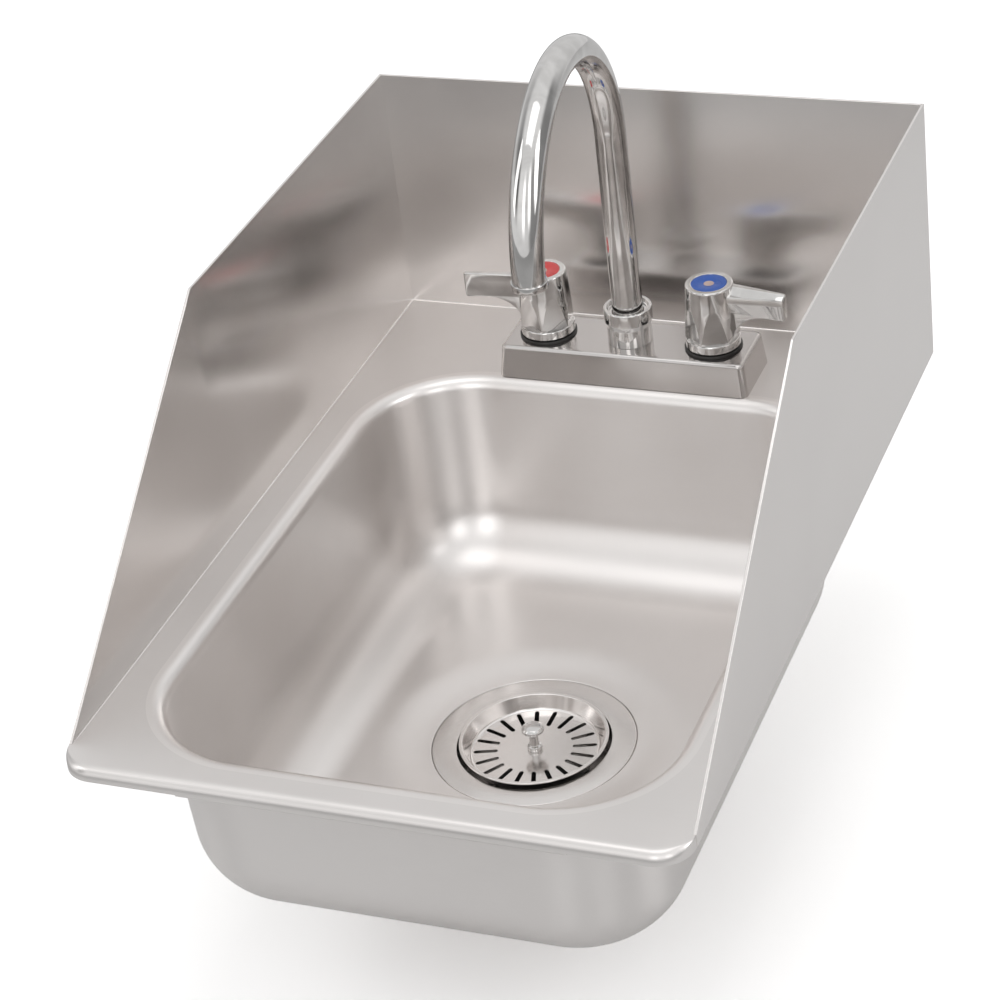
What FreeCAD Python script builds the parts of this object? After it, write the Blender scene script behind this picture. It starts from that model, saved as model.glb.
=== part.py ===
import FreeCAD, Part
import os
import Sketcher

# Drop-in hand sink with splash panels, basket strainer and a gooseneck faucet.
# Millimetres. +Z is up, +Y runs from the user to the backsplash, and the origin is
# the middle of the rim's front edge, on the worktop that the rim rests on.

os.makedirs("parts", exist_ok=True)
doc = FreeCAD.newDocument("drop_in_sink")
sheet = doc.addObject("Spreadsheet::Sheet", "Sizes")

SIZES = {
    # rim
    "deck_width": 330,
    "deck_depth": 483,
    "rim_height": 7,
    "steel": 1.2,
    "front_corner": 18.5,
    "rim_round": 3,
    # bowl
    "bowl_gap": 2.5,
    "front_gap": 0.5,
    "bowl_corner": 60,
    "rim_roll": 8,
    "weld_land": 2,
    "wall_draft": 3,
    "bowl_depth": 116,
    "bowl_cove": 42,
    "drain_offset": 5,
    "well_margin": 9,
    "well_fall": 3,
    "seat_clearance": 2.4,
    "seat_fall": 2.6,
    "drain_clearance": 1,
    # splash panels
    "splash_height": 152.4,
    "splash_front": 18.5,
    "splash_slope_run": 198,
    "panel_steel": 1.5,
    "panel_round": 0.3,
    # hold-down rails
    "rail_width": 10,
    "rail_drop": 14,
    "rail_lip": 2.7,
    "rail_inset": 7.5,
    "front_rail_length": 206,
    "side_rail_length": 300,
    # strainer
    "flange_radius": 57.15,
    "flange_thickness": 2.4,
    "flange_round": 1.1,
    "neck_radius": 43.8,
    "cup_wall": 1.5,
    "cup_straight": 24,
    "cup_cone": 16,
    "outlet_radius": 23.6,
    "outlet_bore": 19,
    "outlet_length": 20,
    "gasket_radius": 58,
    "gasket_thickness": 3,
    "friction_thickness": 1,
    "locknut_radius": 52,
    "locknut_height": 9,
    "locknut_lug": 7,
    "locknut_lug_width": 12,
    "locknut_lugs": 4,
    # basket
    "basket_clearance": 0.4,
    "basket_wall": 1,
    "basket_lip_rise": 3,
    "basket_depth": 5,
    "basket_floor_radius": 37,
    "slot_inner": 21,
    "slot_outer": 34.5,
    "slot_width": 2.4,
    "slot_count": 20,
    "slot_end_share": 0.45,
    "post_radius": 3.2,
    "collar_radius": 5.2,
    "collar_height": 1.5,
    "knob_radius": 6.4,
    "knob_rise": 8.5,
    "seal_radius": 27,
    "seal_height": 6,
    "seal_bevel": 2,
    "seal_margin": 3,
    "rest_gap": 0.3,
    # faucet
    "faucet_from_back": 58.5,
    "handle_spacing": 101.6,
    "shroud_width": 152,
    "shroud_depth": 46,
    "shroud_height": 20,
    "shroud_taper": 2.25,
    "shroud_steel": 1,
    "shroud_corner": 2.5,
    "shroud_round": 1.5,
    "pad_margin": 4,
    "pad_thickness": 1.5,
    "bar_width": 126,
    "bar_depth": 27,
    "bar_height": 14,
    "bar_corner": 4,
    "waterway_radius": 3.5,
    "tower_radius": 12,
    "shank_radius": 10.3,
    "shank_end_radius": 10.1,
    "shank_step": 1.3,
    "shank_bore": 6.5,
    "shank_length": 50,
    "deck_hole": 14.3,
    "washer_radius": 18,
    "washer_thickness": 2.5,
    "nut_across": 30,
    "nut_height": 7,
    # valves and handles
    "cartridge_radius": 9,
    "cartridge_rise": 17,
    "stem_radius": 4.2,
    "stem_engagement": 12,
    "running_gap": 0.05,
    "ring_radius": 17,
    "ring_height": 4,
    "hub_foot_radius": 16,
    "hub_top_radius": 14,
    "hub_height": 37,
    "hub_cavity": 11.5,
    "hub_web_gap": 2,
    "hub_round": 1.2,
    "hub_band": 3,
    "lever_reach": 47,
    "lever_height": 15,
    "lever_root_width": 13,
    "lever_tip_width": 5.5,
    "lever_forward": 8,
    "lever_round": 1.5,
    "web_reach": 36,
    "web_curve": 34,
    "web_thickness": 4.5,
    "facet_radius": 13.9,
    "facet_height": 22,
    "facet_count": 6,
    "index_radius": 10.3,
    "index_thickness": 2,
    "screw_radius": 2,
    "screw_head_radius": 3.8,
    "screw_head_height": 2.5,
    "screw_grip": 7,
    # spout
    "tube_radius": 9,
    "tube_wall": 1,
    "spout_riser": 115.5,
    "spout_bend": 83.4,
    "spout_drop": 3.5,
    "spout_turn": 4,
    "boss_height": 11,
    "spout_nut_radius": 14.2,
    "spout_nut_foot": 13.2,
    "spout_nut_height": 22,
    "nut_lip": 3,
    "bush_flange_radius": 11.6,
    "bush_flange_height": 2.4,
    "bush_length": 20,
    "bush_bore": 5.6,
    "nipple_length": 6,
    "ring_section": 1.3,
    "ring_pitch": 7,
    "outlet_rim": 0.8,
    "outlet_rim_height": 4,
    "straightener_height": 4,
    "straightener_hole": 0.9,
    "straightener_pitch": 2.6,
    "overrun": 1,
}

for row, (alias, value) in enumerate(SIZES.items(), start=1):
    sheet.set(f"A{row}", str(value))
    sheet.setAlias(f"A{row}", alias)
doc.recompute()


def expr(text):
    """Turn size names into cell references of the sheet."""
    words = []
    word = ""
    for letter in text + " ":
        if letter.isalnum() or letter == "_" or letter == ".":
            word += letter
            continue
        words.append("Sizes." + word if word in SIZES else word)
        words.append(letter)
        word = ""
    return "".join(words).strip()


def size(text):
    """Value of an expression in the sheet's sizes."""
    return float(sheet.evalExpression(expr(text)))


# Heights that several pieces share
DECK_TOP = "rim_height"
DECK_UNDER = "(rim_height - steel)"
FLOOR = "(rim_height - bowl_depth)"
WELL_FLOOR = "(rim_height - bowl_depth - well_fall)"
SEAT = "(rim_height - bowl_depth - well_fall - seat_fall)"
SEAT_UNDER = "(rim_height - bowl_depth - well_fall - seat_fall - steel)"
FLANGE_TOP = "(rim_height - bowl_depth - well_fall - seat_fall + flange_thickness)"
CUP_FLOOR = (
    "(rim_height - bowl_depth - well_fall - seat_fall + flange_thickness"
    " - cup_straight - cup_cone)"
)
SEAL_FOOT = (
    "(rim_height - bowl_depth - well_fall - seat_fall + flange_thickness"
    " - cup_straight - cup_cone + rest_gap)"
)
BASKET_FLOOR = (
    "(rim_height - bowl_depth - well_fall - seat_fall + flange_thickness - basket_depth)"
)
BAR_FOOT = "(rim_height + pad_thickness)"
SHROUD_TOP = "(rim_height + shroud_height)"
RING_TOP = "(rim_height + shroud_height + ring_height)"
HUB_FOOT = "(rim_height + shroud_height + ring_height + rest_gap)"
HUB_TOP = "(rim_height + shroud_height + ring_height + rest_gap + hub_height)"
CARTRIDGE_TOP = "(rim_height + shroud_height + cartridge_rise)"
WEB = "(rim_height + shroud_height + cartridge_rise + hub_web_gap)"
BOSS_TOP = "(rim_height + shroud_height + boss_height)"
TUBE_FOOT = "(rim_height + shroud_height + boss_height + rest_gap + bush_flange_height)"

# Places in plan
SIDE = "(deck_width / 2)"
FAUCET_Y = "(deck_depth - faucet_from_back)"
BOWL_HALF = "(deck_width / 2 - rail_inset - rail_width - bowl_gap - rim_roll)"
BOWL_FRONT = "(rail_inset + rail_width + front_gap + rim_roll)"
BOWL_BACK = "(deck_depth - faucet_from_back - washer_radius - bowl_gap - rim_roll)"
BOWL_MIDDLE = f"(({BOWL_FRONT} + {BOWL_BACK}) / 2)"
DRAIN_Y = f"({BOWL_MIDDLE} + drain_offset)"
WELL_RADIUS = f"({BOWL_HALF} - bowl_cove - well_margin)"
HUB_X = "(handle_spacing / 2)"

parts = []


def bind(item, path, text):
    item.setExpression(path, expr(text))


def new_body(label, x=None, y=None, turn=None):
    body = doc.addObject("PartDesign::Body", label)
    body.Label = label
    if x:
        bind(body, "Placement.Base.x", x)
    if y:
        bind(body, "Placement.Base.y", y)
    if turn:
        body.Placement.Rotation = FreeCAD.Rotation(FreeCAD.Vector(0, 0, 1), 0)
        bind(body, "Placement.Rotation.Angle", turn)
    parts.append(body)
    return body


def new_sketch(body, name, role="XY_Plane", lift=None):
    """Sketch on one of the body's own origin planes, lifted along its normal."""
    sketch = body.newObject("Sketcher::SketchObject", name)
    plane = next(f for f in body.Origin.OriginFeatures if f.Role == role)
    sketch.AttachmentSupport = [(plane, "")]
    sketch.MapMode = "FlatFace"
    if lift:
        bind(sketch, "AttachmentOffset.Base.z", lift)
    return sketch


def pin_point(sketch, geometry, point, x, y):
    """Tie a sketch point to the sketch origin by two sizes."""
    for kind, text in (("DistanceX", x), ("DistanceY", y)):
        value = size(text)
        index = sketch.addConstraint(
            Sketcher.Constraint(kind, -1, 1, geometry, point, value)
        )
        sketch.setExpression(f"Constraints[{index}]", expr(text))


def outline(sketch, corners, closed=True):
    """Line through corners; each corner is (x, y) or (x, y, arc radius to the next)."""
    spots = [FreeCAD.Vector(size(c[0]), size(c[1]), 0) for c in corners]
    count = len(corners)
    runs = count if closed else count - 1
    for i, corner in enumerate(corners[:runs]):
        start, end = spots[i], spots[(i + 1) % count]
        if len(corner) == 2:
            sketch.addGeometry(Part.LineSegment(start, end), False)
            continue
        radius = size(corner[2])
        chord = end - start
        middle = (start + end) * 0.5
        away = FreeCAD.Vector(chord.y, -chord.x, 0).normalize()
        sagitta = radius - max(radius**2 - (chord.Length / 2) ** 2, 0) ** 0.5
        arc = Part.Arc(start, middle + away * sagitta, end)
        sketch.addGeometry(arc, False)
    for i in range(runs):
        if closed or i + 1 < runs:
            following = (i + 1) % count
            sketch.addConstraint(Sketcher.Constraint("Coincident", i, 2, following, 1))
    if not closed:
        pin_point(sketch, runs - 1, 2, corners[-1][0], corners[-1][1])
    for i, corner in enumerate(corners[:runs]):
        pin_point(sketch, i, 1, corner[0], corner[1])
        if len(corner) == 2:
            continue
        radius = size(corner[2])
        chord = spots[(i + 1) % count] - spots[i]
        if chord.Length > radius * 1.999:
            flat = abs(chord.x) > abs(chord.y)
            kind, text = ("DistanceY", corner[1]) if flat else ("DistanceX", corner[0])
            limit = Sketcher.Constraint(kind, -1, 1, i, 3, size(text))
        else:
            text = corner[2]
            limit = Sketcher.Constraint("Radius", i, radius)
        index = sketch.addConstraint(limit)
        sketch.setExpression(f"Constraints[{index}]", expr(text))
    return sketch


def rounded(sketch, x0, x1, y0, y1, radius):
    """Rectangle with four equal round corners, drawn anticlockwise."""
    return outline(
        sketch,
        [
            (f"{x0} + {radius}", y0),
            (f"{x1} - {radius}", y0, radius),
            (x1, f"{y0} + {radius}"),
            (x1, f"{y1} - {radius}", radius),
            (f"{x1} - {radius}", y1),
            (f"{x0} + {radius}", y1, radius),
            (x0, f"{y1} - {radius}"),
            (x0, f"{y0} + {radius}", radius),
        ],
    )


def rectangle(sketch, x0, x1, y0, y1):
    return outline(sketch, [(x0, y0), (x1, y0), (x1, y1), (x0, y1)])


def circle(sketch, radius, x="0", y="0"):
    spot = FreeCAD.Vector(size(x), size(y), 0)
    up = FreeCAD.Vector(0, 0, 1)
    geometry = sketch.addGeometry(Part.Circle(spot, up, size(radius)), False)
    index = sketch.addConstraint(Sketcher.Constraint("Radius", geometry, size(radius)))
    sketch.setExpression(f"Constraints[{index}]", expr(radius))
    pin_point(sketch, geometry, 3, x, y)
    return sketch


def pad(body, sketch, length, down=False, taper=None):
    feature = body.newObject("PartDesign::Pad", sketch.Name + "_pad")
    feature.Profile = sketch
    feature.Reversed = down
    bind(feature, "Length", length)
    if taper:
        bind(feature, "TaperAngle", taper)
    sketch.Visibility = False
    doc.recompute()
    return feature


def pocket(body, sketch, depth, up=False, taper=None):
    """Cut from the sketch plane, down unless up is set, and check that metal went."""
    before = body.Shape.Volume
    feature = body.newObject("PartDesign::Pocket", sketch.Name + "_pocket")
    feature.Profile = sketch
    feature.Reversed = up
    bind(feature, "Length", depth)
    if taper:
        bind(feature, "TaperAngle", taper)
    sketch.Visibility = False
    doc.recompute()
    if not body.Shape.Volume < before:
        raise ValueError(f"{feature.Name} cuts nothing")
    return feature


def turn(body, name, corners, cut=False, y=None):
    """Revolve a profile of (radius, height) corners about the vertical through (0, y)."""
    before = 0 if body.Tip is None else body.Shape.Volume
    sketch = new_sketch(body, name, "XZ_Plane", lift=f"0 - {y}" if y else None)
    outline(sketch, corners)
    kind = "PartDesign::Groove" if cut else "PartDesign::Revolution"
    feature = body.newObject(kind, name + "_turned")
    feature.Profile = sketch
    feature.ReferenceAxis = (sketch, ["V_Axis"])
    feature.Angle = 360
    sketch.Visibility = False
    doc.recompute()
    if cut != (body.Shape.Volume < before):
        raise ValueError(f"{feature.Name} cuts or adds nothing")
    return feature


def tube(body, name, outer, inner, low, high):
    return turn(body, name, [(inner, low), (outer, low), (outer, high), (inner, high)])


def fillet(body, feature, radius, wanted):
    """Round the edges for which wanted(edge) is true."""
    doc.recompute()
    names = [
        f"Edge{i}" for i, edge in enumerate(feature.Shape.Edges, start=1) if wanted(edge)
    ]
    if not names:
        raise ValueError(f"no edge to round on {feature.Name}")
    rounding = body.newObject("PartDesign::Fillet", feature.Name + "_round")
    rounding.Base = (feature, names)
    bind(rounding, "Radius", radius)
    doc.recompute()
    return rounding


def level(height):
    """True for edges that lie flat at a height."""
    near = size("steel") / 100
    spot = size(height)
    return lambda edge: (
        abs(edge.BoundBox.ZMin - spot) < near and abs(edge.BoundBox.ZMax - spot) < near
    )


def pattern(body, feature, count):
    """Repeat a feature about the body's vertical axis."""
    ring = body.newObject("PartDesign::PolarPattern", feature.Name + "_ring")
    ring.Originals = [feature]
    axis = next(f for f in body.Origin.OriginFeatures if f.Role == "Z_Axis")
    ring.Axis = (axis, [""])
    ring.Angle = 360
    bind(ring, "Occurrences", count)
    body.Tip = ring
    doc.recompute()
    return ring


# Rim
def make_rim():
    """Deck sheet with a turned-down edge, the bowl opening and two faucet holes."""
    body = new_body("sink_rim")
    plan = new_sketch(body, "rim_plan")
    outline(
        plan,
        [
            (f"front_corner - {SIDE}", "0"),
            (f"{SIDE} - front_corner", "0", "front_corner"),
            (SIDE, "front_corner"),
            (SIDE, "deck_depth"),
            (f"0 - {SIDE}", "deck_depth"),
            (f"0 - {SIDE}", "front_corner", "front_corner"),
        ],
    )
    base = pad(body, plan, "rim_height")
    top = level(DECK_TOP)
    reach = size("front_corner")
    fillet(body, base, "rim_round", lambda e: top(e) and e.BoundBox.YMax < reach * 1.01)
    under = new_sketch(body, "rim_under")
    outline(
        under,
        [
            (f"front_corner - {SIDE}", "steel"),
            (f"{SIDE} - front_corner", "steel", "front_corner - steel"),
            (f"{SIDE} - steel", "front_corner"),
            (f"{SIDE} - steel", "deck_depth - steel"),
            (f"steel - {SIDE}", "deck_depth - steel"),
            (f"steel - {SIDE}", "front_corner", "front_corner - steel"),
        ],
    )
    pocket(body, under, DECK_UNDER, up=True)
    opening = new_sketch(body, "rim_opening", lift=DECK_TOP)
    rounded(
        opening,
        f"(0 - {BOWL_HALF} - rim_roll - weld_land)",
        f"({BOWL_HALF} + rim_roll + weld_land)",
        f"({BOWL_FRONT} - rim_roll - weld_land)",
        f"({BOWL_BACK} + rim_roll + weld_land)",
        "(bowl_corner + rim_roll + weld_land)",
    )
    pocket(body, opening, "rim_height")
    holes = new_sketch(body, "rim_holes", lift=DECK_TOP)
    circle(holes, "deck_hole", HUB_X, FAUCET_Y)
    circle(holes, "deck_hole", f"0 - {HUB_X}", FAUCET_Y)
    pocket(body, holes, "rim_height")


# Bowl
def bowl_plan(body, name, grow, lift):
    """Bowl outline at the top of its wall, grown outwards by a size."""
    return rounded(
        new_sketch(body, name, lift=lift),
        f"(0 - {BOWL_HALF} - {grow})",
        f"({BOWL_HALF} + {grow})",
        f"({BOWL_FRONT} - {grow})",
        f"({BOWL_BACK} + {grow})",
        f"(bowl_corner + {grow})",
    )


def on_wall(edge):
    """True for edges of the wall's own outline, not the flange's round it."""
    room = size("steel * 2")
    half = size(BOWL_HALF) + room
    front, back = size(BOWL_FRONT) - room, size(BOWL_BACK) + room
    box = edge.BoundBox
    return box.XMin > -half and box.XMax < half and box.YMin > front and box.YMax < back


def bowl_form(label, skin, flange, flange_foot, flange_height, well_top):
    """One side of the drawn sheet: skin is 0 for its inside and the sheet for its outside."""
    body = doc.addObject("PartDesign::Body", label)
    plate = bowl_plan(body, label + "_flange", flange, flange_foot)
    pad(body, plate, flange_height)
    plan = bowl_plan(body, label + "_wall", skin, flange_foot)
    depth = f"({flange_foot} - {FLOOR} + {skin})"
    wall = pad(body, plan, depth, down=True, taper="0 - wall_draft")
    form = fillet(body, wall, f"bowl_cove + {skin}", level(f"{FLOOR} - {skin}"))
    form = fillet(
        body,
        form,
        f"rim_roll - {skin}",
        lambda e: level(flange_foot)(e) and on_wall(e),
    )
    well = [
        ("0", well_top),
        (WELL_RADIUS, well_top),
        (WELL_RADIUS, f"{FLOOR} - {skin}"),
        (f"flange_radius + seat_clearance + {skin}", f"{WELL_FLOOR} - {skin}"),
        (f"flange_radius + seat_clearance + {skin}", f"{SEAT} - {skin}"),
        ("0", f"{SEAT} - {skin}"),
    ]
    turn(body, label + "_well", well, y=DRAIN_Y)
    return body


def make_bowl():
    """Drawn bowl: rolled edge, drafted walls, coved bottom and a stepped drain well."""
    flange = "(rim_roll + weld_land)"
    blank = bowl_form(
        "bowl_blank", "steel", flange, DECK_UNDER, "steel", f"{FLOOR} - steel / 2"
    )
    cavity = bowl_form(
        "bowl_cavity",
        "0",
        f"({flange} + overrun)",
        DECK_TOP,
        "steel",
        f"{FLOOR} + overrun",
    )
    hole = new_sketch(cavity, "drain_hole", lift=f"{SEAT} + overrun")
    circle(hole, "neck_radius + drain_clearance", "0", DRAIN_Y)
    pad(cavity, hole, "steel + overrun * 2", down=True)
    bowl = doc.addObject("Part::Cut", "sink_bowl")
    bowl.Base = blank
    bowl.Tool = cavity
    bowl.Label = "sink_bowl"
    doc.recompute()
    parts.append(bowl)


# Splash panels
PANEL_TOP = "(rim_height + splash_height)"


def make_side_splash(label, lift):
    """Side panel with a sloped front, standing on the rim flush with its side."""
    body = new_body(label)
    panel = new_sketch(body, label + "_panel", "YZ_Plane", lift=lift)
    slope_top = "(splash_front + splash_slope_run)"
    corners = [
        ("splash_front", DECK_TOP),
        ("deck_depth", DECK_TOP),
        ("deck_depth", PANEL_TOP),
        (slope_top, PANEL_TOP),
    ]
    sheet_metal = pad(body, outline(panel, corners), "panel_steel")
    near = size("steel") / 100
    top, front, back = size(PANEL_TOP), size("splash_front"), size("deck_depth")

    def free_edge(edge):
        box = edge.BoundBox
        along = box.XLength < near and abs(box.ZMax - top) < near
        return along and box.YMin < back - near and box.YMin > front - near

    fillet(body, sheet_metal, "panel_round", free_edge)


def make_backsplash():
    body = new_body("backsplash")
    half = f"({SIDE} - panel_steel)"
    panel = new_sketch(body, "back_panel", "XZ_Plane", lift="0 - deck_depth")
    rectangle(panel, f"0 - {half}", half, DECK_TOP, PANEL_TOP)
    sheet_metal = pad(body, panel, "panel_steel")
    top = level(PANEL_TOP)
    fillet(
        body,
        sheet_metal,
        "panel_round",
        lambda e: top(e) and e.BoundBox.XLength > size("panel_steel") * 2,
    )


# Hold-down rails
def make_rail(label, length, x, y, turned):
    """Channel open downwards, with inward lips, under the rim's flat."""
    body = new_body(label, x, y, turned)
    section = new_sketch(body, label + "_section", "YZ_Plane", lift=f"0 - {length} / 2")
    half = "rail_width / 2"
    foot = f"({DECK_UNDER} - rail_drop)"
    right = [
        (half, DECK_UNDER),
        (half, foot),
        (f"{half} - rail_lip", foot),
        (f"{half} - rail_lip", f"{foot} + steel"),
        (f"{half} - steel", f"{foot} + steel"),
        (f"{half} - steel", f"{DECK_UNDER} - steel"),
    ]
    left = [(f"0 - ({y_})", z_) for y_, z_ in reversed(right)]
    pad(body, outline(section, right + left), length)


def make_rails():
    middle = f"({SIDE} - rail_inset - rail_width / 2)"
    across = BOWL_MIDDLE
    front = "(rail_inset + rail_width / 2)"
    make_rail("front_rail", "front_rail_length", None, front, None)
    make_rail("back_rail", "front_rail_length", None, f"deck_depth - {front}", None)
    make_rail("left_rail", "side_rail_length", f"0 - {middle}", across, "90")
    make_rail("right_rail", "side_rail_length", middle, across, "90")


# Strainer
def make_strainer():
    """Flanged cup, clamped through the drain hole by a lock nut under the bowl."""
    inside = "(neck_radius - cup_wall)"
    floor_radius = "(seal_radius + seal_margin)"
    body = new_body("strainer_body", y=DRAIN_Y)
    cup = turn(
        body,
        "strainer_profile",
        [
            (inside, FLANGE_TOP),
            (inside, f"{FLANGE_TOP} - cup_straight"),
            (floor_radius, CUP_FLOOR),
            ("outlet_bore", CUP_FLOOR),
            ("outlet_bore", f"{CUP_FLOOR} - cup_wall"),
            (f"{floor_radius} + cup_wall", f"{CUP_FLOOR} - cup_wall"),
            ("neck_radius", f"{FLANGE_TOP} - cup_straight"),
            ("neck_radius", SEAT),
            ("flange_radius", SEAT),
            ("flange_radius", FLANGE_TOP),
        ],
    )
    fillet(body, cup, "flange_round", level(FLANGE_TOP))
    outlet = new_body("strainer_outlet", y=DRAIN_Y)
    low, high = f"({CUP_FLOOR} - outlet_length)", f"({CUP_FLOOR} - cup_wall)"
    tube(outlet, "outlet_section", "outlet_radius", "outlet_bore", low, high)
    foot = SEAT_UNDER
    for label, outer, height in (
        ("strainer_gasket", "gasket_radius", "gasket_thickness"),
        ("friction_ring", "gasket_radius", "friction_thickness"),
        ("strainer_locknut", "locknut_radius", "locknut_height"),
    ):
        ring = new_body(label, y=DRAIN_Y)
        lower = f"({foot} - {height})"
        tube(ring, label + "_section", outer, "neck_radius", lower, foot)
        if label == "strainer_locknut":
            lug = new_sketch(ring, "locknut_lug_plan", lift=lower)
            half = "locknut_lug_width / 2"
            start = "(locknut_radius + neck_radius) / 2"
            rectangle(lug, start, "locknut_radius + locknut_lug", f"0 - {half}", half)
            pattern(ring, pad(ring, lug, height), "locknut_lugs")
        foot = lower


def make_basket():
    """Lift-out basket: slotted cup, post with a ball knob, and a stopper seal below."""
    lip = "(neck_radius - cup_wall - basket_clearance)"
    lip_top = f"({FLANGE_TOP} + basket_lip_rise)"
    cup = new_body("basket_cup", y=DRAIN_Y)
    turn(
        cup,
        "basket_profile",
        [
            ("post_radius", f"{BASKET_FLOOR} - basket_wall"),
            ("basket_floor_radius", f"{BASKET_FLOOR} - basket_wall"),
            (f"{lip} - basket_wall", f"{lip_top} - basket_wall"),
            (lip, f"{lip_top} - basket_wall"),
            (lip, lip_top),
            (f"{lip} - basket_wall * 2", lip_top),
            ("basket_floor_radius - basket_wall", BASKET_FLOOR),
            ("post_radius", BASKET_FLOOR),
        ],
    )
    slot = new_sketch(cup, "basket_slot", lift=f"{BASKET_FLOOR} + overrun")
    half = "slot_width / 2"
    ends = "slot_width * slot_end_share"
    rounded(slot, "slot_inner", "slot_outer", f"0 - {half}", half, ends)
    pattern(cup, pocket(cup, slot, "basket_wall + overrun * 2"), "slot_count")
    knob_middle = f"({FLANGE_TOP} + knob_rise)"
    knob_foot = f"({knob_middle} - sqrt(knob_radius ^ 2 - post_radius ^ 2))"
    post = new_body("basket_post", y=DRAIN_Y)
    turn(
        post,
        "post_profile",
        [
            ("0", SEAL_FOOT),
            ("post_radius", SEAL_FOOT),
            ("post_radius", BASKET_FLOOR),
            ("collar_radius", BASKET_FLOOR),
            ("collar_radius", f"{BASKET_FLOOR} + collar_height"),
            ("post_radius", f"{BASKET_FLOOR} + collar_height"),
            ("post_radius", knob_foot),
            ("0", knob_foot),
        ],
    )
    knob = new_body("basket_knob", y=DRAIN_Y)
    ball = [
        ("0", knob_foot),
        ("post_radius", knob_foot, "knob_radius"),
        ("0", f"{knob_middle} + knob_radius"),
    ]
    turn(knob, "knob_profile", ball)
    seal = new_body("stopper_seal", y=DRAIN_Y)
    turn(
        seal,
        "seal_profile",
        [
            ("post_radius", SEAL_FOOT),
            ("seal_radius - seal_bevel", SEAL_FOOT),
            ("seal_radius", f"{SEAL_FOOT} + seal_bevel"),
            ("seal_radius", f"{SEAL_FOOT} + seal_height"),
            ("post_radius", f"{SEAL_FOOT} + seal_height"),
        ],
    )


# Faucet base
BORE_FLOOR = "(rim_height + pad_thickness + bar_height / 2)"
TOWER_TOP = "(rim_height + shroud_height - shroud_steel)"
SPIGOT_FOOT = "(rim_height + shroud_height + boss_height + rest_gap - bush_length)"


def plate(body, name, width, depth, lift, height, corner):
    sketch = new_sketch(body, name, lift=lift)
    half_width, half_depth = f"({width} / 2)", f"({depth} / 2)"
    rounded(
        sketch, f"0 - {half_width}", half_width, f"0 - {half_depth}", half_depth, corner
    )
    return pad(body, sketch, height)


def make_faucet_base():
    """Gasket, brass valve body and the tapered steel shroud over it."""
    gasket = new_body("faucet_gasket", y=FAUCET_Y)
    plate(
        gasket,
        "gasket_plan",
        "(shroud_width - pad_margin * 2)",
        "(shroud_depth - pad_margin * 2)",
        DECK_TOP,
        "pad_thickness",
        "shroud_corner",
    )
    holes = new_sketch(gasket, "gasket_holes", lift=BAR_FOOT)
    for side in (HUB_X, f"0 - {HUB_X}"):
        circle(holes, "shank_radius + rest_gap", side)
    pocket(gasket, holes, "pad_thickness + overrun")

    valve = new_body("valve_body", y=FAUCET_Y)
    plate(valve, "bar_plan", "bar_width", "bar_depth", BAR_FOOT, "bar_height", "bar_corner")
    towers = new_sketch(valve, "tower_plan", lift=BAR_FOOT)
    for side in (HUB_X, f"0 - {HUB_X}"):
        circle(towers, "tower_radius", side)
    pad(valve, towers, f"{TOWER_TOP} - {BAR_FOOT}")
    boss = new_sketch(valve, "boss_plan", lift=BAR_FOOT)
    circle(boss, "tower_radius")
    pad(valve, boss, f"{BOSS_TOP} - {BAR_FOOT}")
    bores = new_sketch(valve, "cartridge_bores", lift=BORE_FLOOR)
    for side in (HUB_X, f"0 - {HUB_X}"):
        circle(bores, "cartridge_radius", side)
    pocket(valve, bores, f"{TOWER_TOP} - {BORE_FLOOR} + overrun", up=True)
    inlets = new_sketch(valve, "inlet_bores", lift=BORE_FLOOR)
    for side in (HUB_X, f"0 - {HUB_X}"):
        circle(inlets, "stem_radius", side)
    pocket(valve, inlets, f"{BORE_FLOOR} - {BAR_FOOT} + overrun")
    spigot = new_sketch(valve, "spout_bore", lift=f"{SPIGOT_FOOT} - rest_gap")
    circle(spigot, "tube_radius")
    pocket(valve, spigot, "bush_length + boss_height", up=True)
    waterway = new_sketch(valve, "waterway", "YZ_Plane", lift=f"0 - {HUB_X}")
    circle(waterway, "waterway_radius", "0", f"{BAR_FOOT} + bar_height / 2")
    pocket(valve, waterway, "handle_spacing", up=True)

    shroud = new_body("faucet_shroud", y=FAUCET_Y)
    slant = "-atan(shroud_taper / shroud_height)"
    sketch = new_sketch(shroud, "shroud_plan", lift=DECK_TOP)
    half_width, half_depth = "(shroud_width / 2)", "(shroud_depth / 2)"
    rounded(
        sketch,
        f"0 - {half_width}",
        half_width,
        f"0 - {half_depth}",
        half_depth,
        "shroud_corner",
    )
    block = pad(shroud, sketch, "shroud_height", taper=slant)
    block = fillet(shroud, block, "shroud_round", level(SHROUD_TOP))
    hollow = new_sketch(shroud, "shroud_hollow", lift=DECK_TOP)
    rounded(
        hollow,
        f"shroud_steel - {half_width}",
        f"({half_width} - shroud_steel)",
        f"shroud_steel - {half_depth}",
        f"({half_depth} - shroud_steel)",
        "(shroud_corner - shroud_steel / 2)",
    )
    pocket(shroud, hollow, "shroud_height - shroud_steel", up=True, taper=slant)
    holes = new_sketch(shroud, "shroud_holes", lift=SHROUD_TOP)
    for side in (HUB_X, f"0 - {HUB_X}"):
        circle(holes, "cartridge_radius + rest_gap", side)
    circle(holes, "tower_radius + rest_gap")
    pocket(shroud, holes, "shroud_steel + overrun")


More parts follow.
